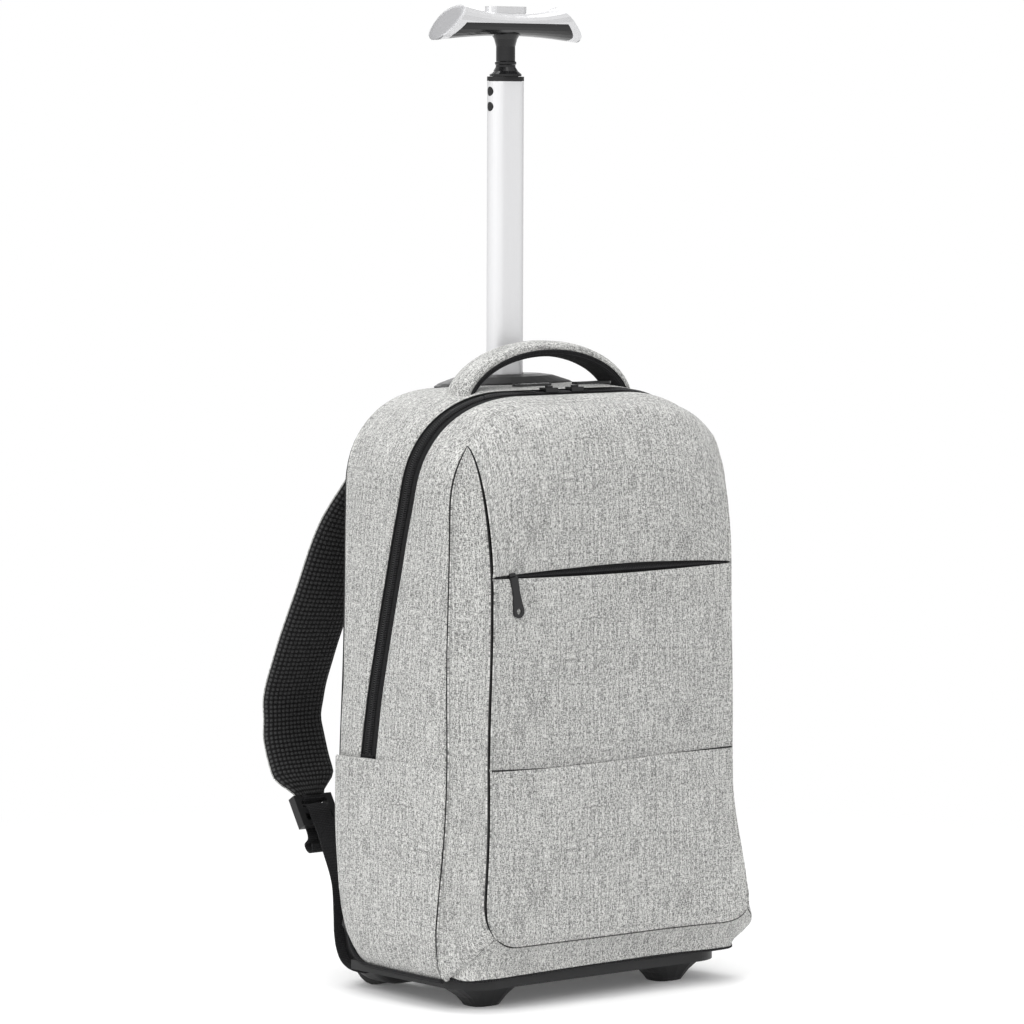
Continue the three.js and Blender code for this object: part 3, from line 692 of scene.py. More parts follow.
def junction_s():
    """Where seam 2 meets seam 1, as a length along the arch."""
    s = np.linspace(WALL_LENGTH - 30, ARCH_LENGTH / 2, 400)
    z = arch_point(s, SEAM_REAR_Y)[:, 2]
    return float(np.interp(JUNCTION_Z, z, s))


JUNCTION_S = junction_s()
JUNCTION_X = -float(arch_point(JUNCTION_S, SEAM_REAR_Y)[0])
SEAM_2_X = (
    (40, 133.5), (110, 133.5), (198, 132.3), (280, 130.8), (357, 129.4), (420, 129.8),
    (JUNCTION_Z, JUNCTION_X),
)
FOOT_CORNER = (101.0, 86.0, 32.0)  # centre x and z and radius of the pocket's lower corners


def seam_2(z):
    """Left edge of the front panels, from the pocket's lower corner to the junction with seam 1."""
    z = np.asarray(z, float)
    t = np.clip((z - 350) / (JUNCTION_Z - 350), 0, 1)
    y = SEAM_REAR_Y + (FACE_Y - SEAM_REAR_Y) * (1 - t ** 1.6) ** (1 / 1.6)
    x = -spline(SEAM_2_X, z)
    return np.stack([x, y, z], axis=-1)


def mirror(points):
    return points * np.array([-1, 1, 1])


def front_arch(u):
    """Seam 1 over the top, from junction to junction, u from 0 to 1."""
    s = JUNCTION_S + u * (ARCH_LENGTH - 2 * JUNCTION_S)
    return arch_point(s, seam_1_y(s))


def upper_lip(u):
    """Upper edge of the pocket zip's opening, which gapes a little."""
    x = LIP_HALF * (2 * u - 1)
    lift = 1.2 + 4.2 * np.sin(np.clip(u, 0, 1) * math.pi) ** 0.8 * (0.75 + 0.5 * u)
    return np.stack([x, np.full_like(x, FACE_Y), SLOT_Z + lift], axis=-1)


def lower_lip(u):
    """Lower edge of the pocket zip's opening."""
    x = LIP_HALF * (2 * u - 1)
    drop = 1.4 + 2.0 * np.sin(np.clip(u, 0, 1) * math.pi)
    return np.stack([x, np.full_like(x, FACE_Y), SLOT_Z - drop], axis=-1)


def coons(top, bottom, left, right, us, vs):
    """A patch between four curves: us across, vs from the top (0) to the bottom (1)."""
    t, b = top(us)[None], bottom(us)[None]
    l, r = left(vs)[:, None], right(vs)[:, None]
    u, v = us[None, :, None], vs[:, None, None]
    top_corners = (1 - u) * (1 - v) * t[:, :1] + u * (1 - v) * t[:, -1:]
    bottom_corners = (1 - u) * v * b[:, :1] + u * v * b[:, -1:]
    return (1 - v) * t + v * b + (1 - u) * l + u * r - top_corners - bottom_corners


def front_upper():
    """The panel above the pocket zip: flat at the zip, rolling back to the top of the bag."""
    us, vs = steps(262, 5), steps(128, 4.5)

    def left(v):
        return seam_2(JUNCTION_Z + (upper_lip(np.zeros(1))[0, 2] - JUNCTION_Z) * v)

    grid = coons(front_arch, upper_lip, left, lambda v: mirror(left(v)), us, vs)
    up = 1 - vs[:, None]
    middle = np.clip((up - 0.12) / 0.88, 0, 1)
    centre = (1 - middle ** 2.3) ** (1 / 2.3)
    edge = (1 - up ** 1.6) ** (1 / 1.6)
    side = np.abs(2 * us - 1)[None, :] ** 3
    reach = centre * (1 - side) + edge * side
    crown = 1.5 * (1 - side) * np.sin(np.clip(up, 0, 1) * math.pi)
    grid[..., 1] = SEAM_REAR_Y + (FACE_Y - SEAM_REAR_Y - crown) * reach
    lip = np.clip(1 - lengths(grid, 0)[-1:] / 6 + lengths(grid, 0) / 6, 0, 1)
    grid[..., 1] += 1.2 * lip ** 2
    grid = sewn(slump(grid), "NWE")
    return wrinkle(grid, [
        ((-118, -138, 366), (-60, -143, 404), 7, 0.7),
        ((118, -138, 372), (70, -143, 420), 9, 0.8),
        ((-30, -143, 362), (60, -143, 366), 5, 0.6),
    ])


def front_middle():
    """From the pocket zip down behind the slip pocket's hem, between the two side seams."""
    us = steps(264, 5)
    z_top, z_bottom = lower_lip(us)[:, 2], 188.0
    vs = steps(np.mean(z_top) - z_bottom, 5)
    z = z_top[None] * (1 - vs[:, None]) + z_bottom * vs[:, None]
    edge = seam_2(z)
    x = edge[..., 0] * (1 - 2 * us[None])
    crown = 1.6 * (1 - (2 * us[None] - 1) ** 4)
    grid = np.stack([x, edge[..., 1] - crown, z], axis=-1)
    low = smoothstep(225 - grid[..., 2], 0, 25)
    grid[..., 1] += 2.4 * low * (1 - np.abs(grid[..., 0] / 136) ** 6)
    lip = np.clip(1 - (grid[:1, :, 2] - grid[..., 2]) / 5, 0, 1)
    grid[..., 1] += 1.4 * lip ** 2
    grid = sewn(slump(grid), "WE")
    return wrinkle(grid, [
        ((-120, -142, 330), (-70, -143, 262), 8, 0.7),
        ((122, -142, 340), (96, -143, 240), 7, 0.9),
        ((-126, -142, 345), (-40, -143, 338), 5, -0.6),
    ])


def hem_z(u):
    """Height of the slip pocket's hem, which hangs a little."""
    return 200.0 - 2.6 * np.sin(u * math.pi) - 1.0 * np.sin(2 * u * math.pi)


def pocket_foot(u):
    """Bottom edge of the slip pocket between the 45 degree points of its round corners."""
    cx, cz, r = FOOT_CORNER
    total = 2 * (cx + r * math.pi / 4)
    run = u * total
    arc = r * math.pi / 4
    angle_l = math.pi * 1.25 + np.clip(run / arc, 0, 1) * math.pi / 4
    angle_r = math.pi * 1.5 + np.clip((run - arc - 2 * cx) / arc, 0, 1) * math.pi / 4
    straight = np.clip(run - arc, 0, 2 * cx)
    x = -cx + straight
    x = np.where(run < arc, -cx + r * np.cos(angle_l), x)
    x = np.where(run > arc + 2 * cx, cx + r * np.cos(angle_r), x)
    z = np.full_like(x, cz - r)
    z = np.where(run < arc, cz + r * np.sin(angle_l), z)
    z = np.where(run > arc + 2 * cx, cz + r * np.sin(angle_r), z)
    return np.stack([x, np.full_like(x, FACE_Y), z], axis=-1)


def pocket_side(v):
    """Left edge of the slip pocket from the hem to the 45 degree point of its corner."""
    cx, cz, r = FOOT_CORNER
    straight = FLAP_Z - cz
    arc = r * math.pi / 4
    run = v * (straight + arc)
    angle = math.pi + np.clip((run - straight) / arc, 0, 1) * math.pi / 4
    z = np.where(run < straight, FLAP_Z - run, cz + r * np.sin(angle))
    x = np.where(run < straight, seam_2(np.maximum(z, cz))[..., 0], -cx + r * np.cos(angle))
    return np.stack([x, np.full_like(x, FACE_Y), z], axis=-1)


def slip_pocket():
    """The open pocket on the lower front, with a stitched hem and a full middle."""
    us, vs = steps(264, 5), steps(146, 4.5)

    def top(u):
        x = SLIP_HALF * (2 * u - 1)
        return np.stack([x, np.full_like(x, FACE_Y), hem_z(u)], axis=-1)

    grid = coons(top, pocket_foot, pocket_side, lambda v: mirror(pocket_side(v)), us, vs)
    across = 1 - (2 * us[None] - 1) ** 4
    grid[..., 1] -= (1.2 + 2.6 * np.sin(np.clip(vs[:, None] * 0.9 + 0.1, 0, 1) * math.pi)) * across
    hem = np.clip(1 - lengths(grid, 0) / 3.0, 0, 1)
    grid[..., 1] += 1.3 * hem ** 3
    stitch = np.exp(-((lengths(grid, 0) - 9.0) / 1.4) ** 2)
    grid[..., 1] += 0.35 * stitch
    grid = sewn(slump(grid), "SWE")
    return wrinkle(grid, [
        ((-110, -142, 88), (-70, -145, 150), 9, 0.8),
        ((132, -146, 70), (96, -146, 150), 10, 1.1),
        ((-90, -144, 62), (20, -145, 72), 8, -0.7),
        ((60, -146, 66), (124, -146, 100), 8, 0.9),
    ])


def bottom_corner(side=-1):
    """Where the body seam and the mitre seam reach the base."""
    return np.array([side * 143.0, -104.0, BASE_Z + 3.5])


def mitre_swell(u, side=-1):
    """How far the mitre seam at a bottom corner stands out from a straight line."""
    return np.sin(np.asarray(u) * math.pi)[..., None] * np.array([side * 1.4, -1.6, -1.6])


def side_gusset():
    """The left side of the front box, between seam 2 and seam 1, down to the mitre seam."""
    vs = steps(430, 5)
    us = steps(34, 3.2)
    straight = np.linspace(0, 1, 220)
    upper = seam_2(JUNCTION_Z + (FLAP_Z - JUNCTION_Z) * straight)
    lower = pocket_side(straight)[1:]
    right_edge = np.concatenate([upper, lower])
    s = np.linspace(JUNCTION_S, 0, 400)
    left_edge = arch_point(s, seam_1_y(s))
    left_edge = np.concatenate([left_edge, bottom_corner()[None]])

    def resample(points):
        run = run_of(points)
        return np.stack([np.interp(vs, run / run[-1], points[:, k]) for k in range(3)], axis=1)

    a = resample(left_edge)
    b = resample(right_edge)
    u = us[None, :, None]
    grid = a[:, None] * (1 - u) + b[:, None] * u
    wide = np.linalg.norm(a - b, axis=1)[:, None] * smoothstep(1 - vs, 0, 0.1)[:, None]
    full = normals_of(grid) * (0.11 * wide * np.sin(us[None] * math.pi) ** 0.8)[..., None]
    return grid + full + mitre_swell(us)[None] * smoothstep(vs, 0.86, 1.0)[:, None, None]


def bottom_edge(u):
    """Lower edge of the cloth round the front of the base, left to right."""
    corner = bottom_corner()
    points = np.array([
        corner, (-138, -118, 26), (-122, -129, 27), (-90, -132.5, 28), (0, -133.5, 29.5),
        (80, -134, 30), (116, -133.5, 29.5), (134, -128, 29.2), (142, -116, 29), mirror(corner),
    ])
    run = run_of(points)
    return np.stack([spline(list(zip(run / run[-1], points[:, k])), u) for k in range(3)], axis=-1)


def lower_gusset():
    """Below the slip pocket, from mitre seam to mitre seam, tucking under to the base."""
    us = steps(290, 5)
    vs = steps(34, 3.0)
    a = pocket_foot(us)
    b = bottom_edge(us)
    v = vs[:, None, None]
    grid = a[None] * (1 - v) + b[None] * v
    ends = smoothstep(np.minimum(us, 1 - us), 0, 0.07)[None]
    left = smoothstep(1 - us, 0.86, 1.0)[None, :, None] * mitre_swell(vs)[:, None]
    right = smoothstep(us, 0.86, 1.0)[None, :, None] * mitre_swell(vs, 1)[:, None]
    full = normals_of(grid) * (3.4 * ends * np.sin(vs[:, None] * math.pi) ** 0.8)[..., None]
    return grid + full + left + right


def make_front():
    fabric("front_panel_upper_cloth", front_upper(), blend=True, replaces=["front_panel_upper"])
    fabric("front_panel_middle_cloth", front_middle(), blend=True, replaces=["front_panel_middle"])
    fabric("slip_pocket_cloth", slip_pocket(), replaces=["slip_pocket"])
    gusset = side_gusset()
    creases = [
        ((-146, -108, 120), (-132, -136, 96), 6, -1.6),
        ((-147, -104, 92), (-134, -132, 74), 5, 1.8),
        ((-147, -103, 76), (-136, -128, 68), 3.5, -2.2),
        ((-147, -102, 60), (-138, -122, 52), 4, 1.2),
        ((-146, -108, 300), (-133, -136, 280), 12, 0.8),
    ]
    for side, sign in SIDES:
        grid = gusset if sign < 0 else mirror(gusset)[:, ::-1]
        grid = sewn(slump(grid), "SWE")
        flipped = [((sign * -a[0], *a[1:]), (sign * -b[0], *b[1:]), w, h) for a, b, w, h in creases]
        grid = wrinkle(grid, flipped if sign > 0 else creases)
        extra = {"replaces": ["pocket_box_lower"]} if sign < 0 else {}
        fabric(f"front_gusset_{side}_cloth", grid, blend=True, **extra)
    lower = sewn(slump(lower_gusset()), "NWE")
    lower = wrinkle(lower, [
        ((-134, -122, 31), (-60, -138, 41), 4, 1.8),
        ((-136, -122, 38), (-76, -139, 45), 3.5, -2.2),
        ((-132, -130, 47), (-96, -139, 51), 3.5, 1.4),
        ((126, -138, 41), (80, -140, 37), 4, -1.5),
    ])
    fabric("lower_gusset_cloth", lower)

    # dark seams
    z = np.linspace(JUNCTION_Z, FLAP_Z, 90)
    left_seam = np.concatenate([seam_2(z), pocket_side(np.linspace(0, 1, 50))[1:]])
    for side, sign in SIDES:
        path = slump(left_seam if sign < 0 else mirror(left_seam))
        path[:, 1] += 0.6
        cord_line(f"pocket_seam_{side}", path, 0.75, blend=True)
        end = left_seam[-1] if sign < 0 else mirror(left_seam[-1])
        mitre = np.linspace(end, bottom_corner(sign), 24) + mitre_swell(np.linspace(0, 1, 24), sign)
        mitre = slump(mitre + np.array([sign * 1.1, -1.3, -0.2]))
        cord_line(f"mitre_seam_{side}", mitre, 0.85)
    foot = slump(pocket_foot(np.linspace(0, 1, 120)))
    foot[:, 1] += 0.6
    cord_line("pocket_foot_seam", foot, 0.75)
    s = np.linspace(0, ARCH_LENGTH, 260)
    seam = slump(arch_point(s, seam_1_y(s) + 0.5))
    sink = np.array([0.004, 0, 0.002]) * smoothstep(seam[:, 2:], 40, 110)
    sink = sink * (1 - smoothstep(seam[:, 2:], 440, 470))
    seam = sunk(seam, sink)
    seam[:, 1] -= 0.9 * smoothstep(seam[:, 2], 440, 470)
    cord_line("body_seam", seam, 0.9, blend=True)
    # painted shadow line: a dark cord along the top of the slip pocket's hem, where shade falls above the
    # proud hem
    u = np.linspace(0.004, 0.996, 90)
    hem = slump(np.stack([-132.2 + 264.4 * u, np.full_like(u, FACE_Y - 1.4), hem_z(u) + 0.2], axis=-1))
    cord_line("slip_pocket_mouth_shadow_line", hem, 0.65)


make_front()

# ------------------------------------------------------------------ sides, top and back

ZIP_HALF = 9.2  # half width of the gap between the two cloths, filled by the zip
REAR_Y = 28.0


def s_at(z):
    """Arch length of a height on the left side."""
    s = np.linspace(0, ARCH_LENGTH / 2, 600)
    return float(np.interp(z, height_of(s), s))


def band(s, y_front, y_back, width, pitch=4.0, crown=0.0):
    """A strip of skin between two lines; rows run along the arch, columns front to back."""
    us = steps(width, pitch)
    y0, y1 = y_front(s)[:, None], y_back(s)[:, None]
    y = y0 * (1 - us[None]) + y1 * us[None]
    grid = arch_point(s[:, None], y)
    return grid + outward(grid) * (crown * np.sin(us[None] * math.pi))[..., None]


def faces_out(grid):
    """Whether a grid's normals point away from the bag's middle."""
    return np.mean(np.sum(normals_of(grid) * (grid - BAG_CENTRE), axis=-1)) > 0


def outward(grid):
    return normals_of(grid) * (1 if faces_out(grid) else -1)


def facing_out(grid):
    """The same grid with its normals pointing away from the bag's middle."""
    return grid if faces_out(grid) else grid[:, ::-1]


def make_skin():
    flap_low = s_at(FLAP_Z - 16)
    s = flap_low + (ARCH_LENGTH - 2 * flap_low) * np.linspace(0, 1, 190)
    front = band(s, lambda t: seam_1_y(t), lambda t: zip_y(t) - ZIP_HALF, 46, 4.0, 1.8)
    front = facing_out(sewn(facing_out(slump(front)), "WE", 1.6, 4.0))
    front = wrinkle(front, [
        ((-151, -100, 330), (-151, -60, 300), 9, -0.9),
        ((-151, -96, 262), (-151, -44, 232), 10, 0.9),
        ((151, -100, 320), (151, -60, 290), 9, -0.9),
    ])
    fabric("front_side_cloth", front, blend=True, replaces=["front_gusset"])
    rear = band(s, lambda t: zip_y(t) + ZIP_HALF, lambda t: np.full_like(t, REAR_Y), 80, 5.0, 1.2)
    rear = facing_out(sewn(facing_out(slump(rear)), "WE", 1.6, 4.0))
    rear = wrinkle(rear, [
        ((-151, -10, 420), (-150, 24, 380), 12, 0.9),
        ((-152, 4, 300), (-152, 26, 250), 9, -1.0),
    ])
    cloth = fabric("rear_gusset_cloth", rear, replaces=["rear_gusset"])
    cut_box(cloth, (-23.5, -16.5, 470), (23.5, 15.0, 530))

    # the sides below the zip, behind the side pockets
    low = np.linspace(0, s_at(FLAP_Z + 4), 50)
    for side, sign in SIDES:
        t = low if sign < 0 else ARCH_LENGTH - low
        wall = band(t, lambda q: seam_1_y(q) + 1, lambda q: np.full_like(q, REAR_Y), 130, 6.0)
        inset = np.array([sign * -2.2, 0, 0])
        fabric(
            f"lower_side_{side}_cloth", facing_out(slump(wall) + inset),
            replaces=[f"lower_side_panel_{side}"],
        )


make_skin()


def side_pocket(sign):
    """Open pocket on the side: sewn at the front, back and bottom, gaping a little at the back."""
    vs = steps(FLAP_Z - BASE_Z, 4.5)
    us = steps(138, 5)
    z = FLAP_Z - vs * (FLAP_Z - BASE_Z)
    s = np.array([s_at(value) for value in z])
    s = s if sign < 0 else ARCH_LENGTH - s
    y = seam_1_y(s)[:, None] * (1 - us[None]) + (REAR_Y + 1.0) * us[None]
    grid = arch_point(s[:, None], y)
    full = np.sin(np.clip(us[None], 0, 1) * math.pi) ** 0.7 * smoothstep(z[:, None], 26, 90)
    gape = smoothstep(us[None], 0.5, 0.96) * smoothstep(z[:, None], 60, 150)
    grid[..., 0] += sign * (1.0 + 2.2 * full + 3.6 * gape)
    tuck = smoothstep(BASE_Z + 14 - z[:, None], 0, 14)
    grid[..., 0] -= sign * 3.0 * tuck
    grid = facing_out(slump(grid))
    hem = np.clip(1 - lengths(grid, 0) / 3.0, 0, 1)
    grid[..., 0] -= sign * 1.2 * hem ** 3
    grid = facing_out(sewn(grid, "SWE", 1.8, 4.5))
    return wrinkle(grid, [
        ((sign * 152, -96, 60), (sign * 153, -40, 96), 9, 0.9),
        ((sign * 152, 22, 70), (sign * 153, -30, 110), 10, 1.0),
        ((sign * 152, -98, 84), (sign * 152, -70, 70), 5, -1.2),
        ((sign * 150, 10, 44), (sign * 151, -60, 48), 7, 0.9),
    ])


for side, sign in SIDES:
    fabric(f"side_pocket_{side}_cloth", side_pocket(sign), replaces=[f"side_pocket_{side}"])

# ------------------------------------------------------------------ main zip


TAPE = 0.8
TOOTH_PITCH = 1.9


def zip_tape(name, offsets, depth, s, blend):
    """A tape along the zip line: offsets are distances behind it, depth is how deep it lies there."""
    y = zip_y(s)[:, None] + np.asarray(offsets, float)[None]
    grid = facing_out(slump(arch_point(s[:, None], y)))
    grid = grid - normals_of(grid) * np.broadcast_to(depth, grid.shape[:2])[..., None]
    fabric(f"{name}_cloth", grid, "zip_tape", replaces=[name], blend=blend, thickness=TAPE)


def zip_teeth(name, s, near, far, blend):
    """One half of the main zip's coil: small loops at the arch lengths s, from near to far off its line."""
    pieces = []
    for value in s:
        y = float(zip_y(np.array([value]))[0])
        pair = np.array([[value, y + near], [value, y + far]])
        ends = slump(arch_point(pair[:, 0], pair[:, 1]))
        beside = slump(arch_point(value + 0.5, y + near))
        along = beside - ends[0]
        along = along / np.linalg.norm(along)
        reach = ends[1] - ends[0]
        normal = np.cross(along, reach)
        normal = normal / np.linalg.norm(normal)
        if normal @ (ends[0] - np.array([0, ends[0][1], 300.0])) < 0:
            normal = -normal
        pieces.append(tooth(ends[0] - normal, reach, along, normal))
    placed(name, joined(pieces), "coil", "bag", blend)


def tooth(start, reach, along, normal):
    """A loop of a coil zip, thicker where it meets the other half."""
    rings = []
    for share, half, tall in ((0.0, 0.25, 0.5), (0.08, 0.62, 1.1), (0.3, 0.5, 0.95), (1.0, 0.42, 0.6)):
        centre = start + reach * share
        ring = []
        for k in range(6):
            c, d = math.cos(k * math.pi / 3), math.sin(k * math.pi / 3)
            ring.append(centre + along * (half * c) + normal * (tall * (0.6 + d)))
        rings.append(ring)
    return loft_data(rings)


def make_main_zip():
    low = s_at(FLAP_Z - 2)
    s = np.linspace(low, ARCH_LENGTH - low, 200)
    front = (-ZIP_HALF - 2.2, -ZIP_HALF, -5.0, -1.6, -0.5)
    rear = (0.6, 3.0, 5.5, ZIP_HALF, ZIP_HALF + 2.2)
    zip_tape("main_zip_front_tape", front, (2.4, 1.7, 1.5, 1.5, 2.2), s, True)
    zip_tape("main_zip_rear_tape", rear, (2.2, 1.7, 1.7, 1.8, 2.4), s, False)
    teeth = np.arange(low + 2, ARCH_LENGTH - low - 2, TOOTH_PITCH)
    zip_teeth("main_zip_front_coil", teeth, 0.35, -3.6, True)
    zip_teeth("main_zip_rear_coil", teeth + TOOTH_PITCH / 2, -0.35, 3.6, False)
    for name, offset, blend in (("front", -ZIP_HALF, True), ("rear", ZIP_HALF, False)):
        path = sunk(slump(arch_point(s, zip_y(s) + offset)), np.array([0.008, 0, 0.004]))
        cord_line(f"main_zip_{name}_edge", path, 0.9, "zip_tape", blend=blend)
    for side, sign in SIDES:
        end = arch_point(low if sign < 0 else ARCH_LENGTH - low, float(zip_y(np.array([low]))[0]))
        corners = ((-8, -1), (8, -1), (8, 4), (-8, 4))
        patch = [slump(end + np.array([sign * 0.6, dy, dz])) for dy, dz in corners]
        points = np.array(patch + [p - np.array([sign * 2.5, 0, 0]) for p in patch])
        faces = [(0, 1, 2, 3), (7, 6, 5, 4), (0, 4, 5, 1), (1, 5, 6, 2), (2, 6, 7, 3), (3, 7, 4, 0)]
        make_object(f"main_zip_end_stop_{side}", points, faces, "zip_tape", "bag", smooth=False)


make_main_zip()

# ------------------------------------------------------------------ pocket zip

SLOT_HALF = 129.0


def make_pocket_zip():
    x = np.linspace(-SLOT_HALF, SLOT_HALF, 60)
    for name, z0, z1 in (("upper", SLOT_Z + 12, SLOT_Z + 0.4), ("lower", SLOT_Z - 0.4, SLOT_Z - 12)):
        z = np.linspace(z0, z1, 5)
        rows = (x[None], np.full((1, 1), FACE_Y + 2.3), z[:, None])
        grid = slump(np.stack(np.broadcast_arrays(*rows), axis=-1))
        tape = f"pocket_zip_{name}_tape"
        fabric(f"{tape}_cloth", grid, "zip_tape", "front_flap", [tape], thickness=TAPE)
    teeth = []
    for k, value in enumerate(np.arange(-SLOT_HALF + 4, SLOT_HALF - 4, TOOTH_PITCH / 2)):
        sign = 1 if k % 2 else -1
        start = slump(np.array([value, FACE_Y + 2.0, SLOT_Z - sign * 0.3]))
        reach = np.array([0, 0, sign * 2.6])
        teeth.append(tooth(start, reach, np.array([1.0, 0, 0]), np.array([0, -1.0, 0])))
    points, faces = joined(teeth)
    make_object("pocket_zip_coil", points, faces, "coil", "front_flap")
    u = np.linspace(0, 1, 80)
    for name, lip in (("upper", upper_lip), ("lower", lower_lip)):
        path = slump(lip(u))
        path[:, 1] += 1.1
        cord_line(f"pocket_{name}_lip_edge", path, 0.6, body="front_flap")
    x, z = np.meshgrid(np.linspace(-126, 126, 24), np.linspace(372, 205, 20))
    grid = np.stack([x, -137 + 1.5 * np.sin(x / 17 + z / 23), z], axis=-1)
    fabric(
        "pocket_lining_cloth", grid, "lining_fabric", replaces=["pocket_lining"], blend=True, thickness=TAPE
    )


make_pocket_zip()

# ------------------------------------------------------------------ bands with a rounded section


def band_loft(route, across, half_width, section, name, look, replaces=()):
    """Sweeps a flat section along a route. section holds (u, v) pairs: u from -1 to 1 across the width,
    v in millimetres towards the outside of the band."""
    route = np.asarray(route, float)
    tangent = np.gradient(route, axis=0)
    tangent /= np.linalg.norm(tangent, axis=1, keepdims=True)
    side = np.asarray(across, float) - tangent * (tangent @ np.asarray(across, float))[:, None]
    side /= np.linalg.norm(side, axis=1, keepdims=True)
    out = np.cross(tangent, side)
    half = np.broadcast_to(half_width, (len(route),))
    u, v = np.asarray(section, float).T
    sideways = side[:, None] * (u[None] * half[:, None])[..., None]
    points, faces = loft_data(route[:, None] + sideways + out[:, None] * v[None, :, None])
    girth = run_of(np.stack([u * np.mean(half), v], axis=1))
    uv = np.stack(np.broadcast_arrays(girth[None], run_of(route)[:, None]), axis=-1)
    return make_object(name, points, faces, look, "bag", replaces, uv.reshape(-1, 2) * MM)


def curve_points(keys, count):
    """A smooth route through given points."""
    keys = np.asarray(keys, float)
    run = run_of(keys)
    where = np.linspace(0, run[-1], count)
    return np.stack([spline(list(zip(run, keys[:, k])), where) for k in range(3)], axis=1)


def rounded_top(low, high, crown, count=14):
    """Section with a crowned top at v = high and a flat underside at v = low."""
    angle = np.linspace(0, math.pi, count)
    u = np.sign(np.cos(angle)) * np.abs(np.cos(angle)) ** 0.5
    v = low + (high - low) * np.sin(angle) ** 0.45 + crown * (1 - u ** 2) * (np.sin(angle) > 0.05)
    return list(zip(u, v)) + [(-0.5, low), (0.0, low), (0.5, low)]


# ------------------------------------------------------------------ grab handle

HANDLE_Y = -48.0
HANDLE_HALF = 13.6


def handle_arc(half_span, rise, y):
    """An arc over the top of the bag whose ends go a little way into it."""
    t = np.linspace(math.radians(186), math.radians(-6), 64)
    return np.stack([half_span * np.cos(t) - 1.5, np.full_like(t, y), 486.5 + rise * np.sin(t)], axis=1)


def make_handle():
    route = handle_arc(88.5, 48.5, HANDLE_Y)
    cloth = band_loft(
        route, (0, 1, 0), HANDLE_HALF, rounded_top(-1.2, 5.6, 1.2),
        "grab_handle_cloth", "heather_fabric", ["grab_handle"],
    )
    underside = [(u, -7.1 - v) for u, v in rounded_top(-6.2, -0.9, 0.4)][::-1]
    band_loft(route, (0, 1, 0), HANDLE_HALF, underside, "grab_handle_lining", "webbing")
    for name, sign in (("front", -1), ("rear", 1)):
        path = handle_arc(87.6, 47.4, HANDLE_Y + sign * (HANDLE_HALF - 0.2))
        cord_line(f"grab_handle_piping_{name}", path, 0.9, "webbing")


make_handle()

# ------------------------------------------------------------------ shoulder straps

# the left strap's route, from the top of the back down to its ladder lock
STRAP_KEYS = (
    (-76, 39, 476), (-84, 44, 450), (-92, 54, 425), (-104, 76, 385), (-112, 99, 327), (-116, 124, 270),
    (-117, 137, 234), (-117, 138.5, 212), (-117, 131, 185), (-117, 119, 162), (-117, 113.5, 151),
)
LOCK_CENTRE = np.array([-117.0, 108.0, 140.0])
LOCK_TILT = math.radians(-32)
WEB_HALF = 11.0


def lock_point(out, along):
    """A point beside the ladder lock: out is away from the bag, along is up the lock."""
    c, s = math.cos(LOCK_TILT), math.sin(LOCK_TILT)
    return LOCK_CENTRE + np.array([0, out * c - along * s, out * s + along * c])


def on_side(points, sign):
    """A left-hand route, mirrored for the right side."""
    return mirror(points) if sign > 0 else points


def webbing(name, keys, sign, thickness=1.5, count=60, replaces=()):
    """A flat woven strap through the given points."""
    h = thickness / 2
    section = [
        (-1, -h * 0.5), (-0.93, -h), (0, -h), (0.93, -h), (1, -h * 0.5),
        (1, h * 0.5), (0.93, h), (0, h), (-0.93, h), (-1, h * 0.5),
    ]
    route = on_side(curve_points(keys, count), sign)
    band_loft(route, (1, 0, 0), WEB_HALF, section, name, "webbing", replaces)


def make_strap(side, sign):
    route = on_side(curve_points(STRAP_KEYS, 70), sign)
    t = np.linspace(0, 1, len(route))
    half = 31.5 - 5 * (1 - smoothstep(t, 0, 0.25)) - 19 * smoothstep(t, 0.93, 1.0) ** 1.3
    half = half - 2.0 * np.exp(-((t - 0.80) / 0.03) ** 2)
    mesh_side = [(-u, -v) for u, v in rounded_top(-2.2, 4.6, 0.8)]
    strap = f"shoulder_strap_{side}"
    pad = band_loft(route, (-1, 0, 0), half, mesh_side, f"{strap}_mesh", "air_mesh", [strap])
    cloth_side = rounded_top(1.6, 4.6, 0.8)
    band_loft(route, (-1, 0, 0), half + 0.4, cloth_side, f"{strap}_cloth", "heather_fabric")
    tab = [lock_point(*pair) for pair in (
        (-2.2, 44), (-4.4, 30), (-5.3, 15), (-4.6, 9.0), (0, 7.9),
        (4.6, 9.0), (5.3, 15), (5.6, 26), (6.0, 36),
    )]
    webbing(f"strap_end_web_{side}", tab, sign, thickness=1.4)
    from_base = [
        (-129, 11, 16.6), (-130, 22, 16.6), (-131, 31, 18.5), (-132, 39, 24), (-132.5, 44, 33),
        (-132.5, 47, 45), (-131.5, 49, 59), (-127, 57, 84), (-120.5, 78, 110),
    ]
    through_lock = [lock_point(*pair) for pair in (
        (-6.4, -22), (-5.6, -10), (-5.3, 0), (-3.2, 4.6), (0, 5.6),
        (3.2, 4.6), (5.3, 0), (6.0, -10), (8.5, -22),
    )]
    tail = [(-117, 108, 112), (-117, 102, 106), (-117, 98, 108), (-117, 98.5, 114)]
    lower = from_base + through_lock + tail
    webbing(f"lower_webbing_{side}_band", lower, sign, count=150, replaces=[f"lower_webbing_{side}"])


for side, sign in SIDES:
    make_strap(side, sign)

# ------------------------------------------------------------------ back panel, its pads and the bindings


def arch_outline(inset):
    """Outline of the bag's back, from the lower left over the top to the lower right."""
    s = np.linspace(0, ARCH_LENGTH, 160)
    points = arch_point(s, np.full_like(s, 27.9))
    half = np.array([148.0, 1, 240.0])
    return points + (BAG_CENTRE - points) / half * inset * np.array([1, 0, 1])


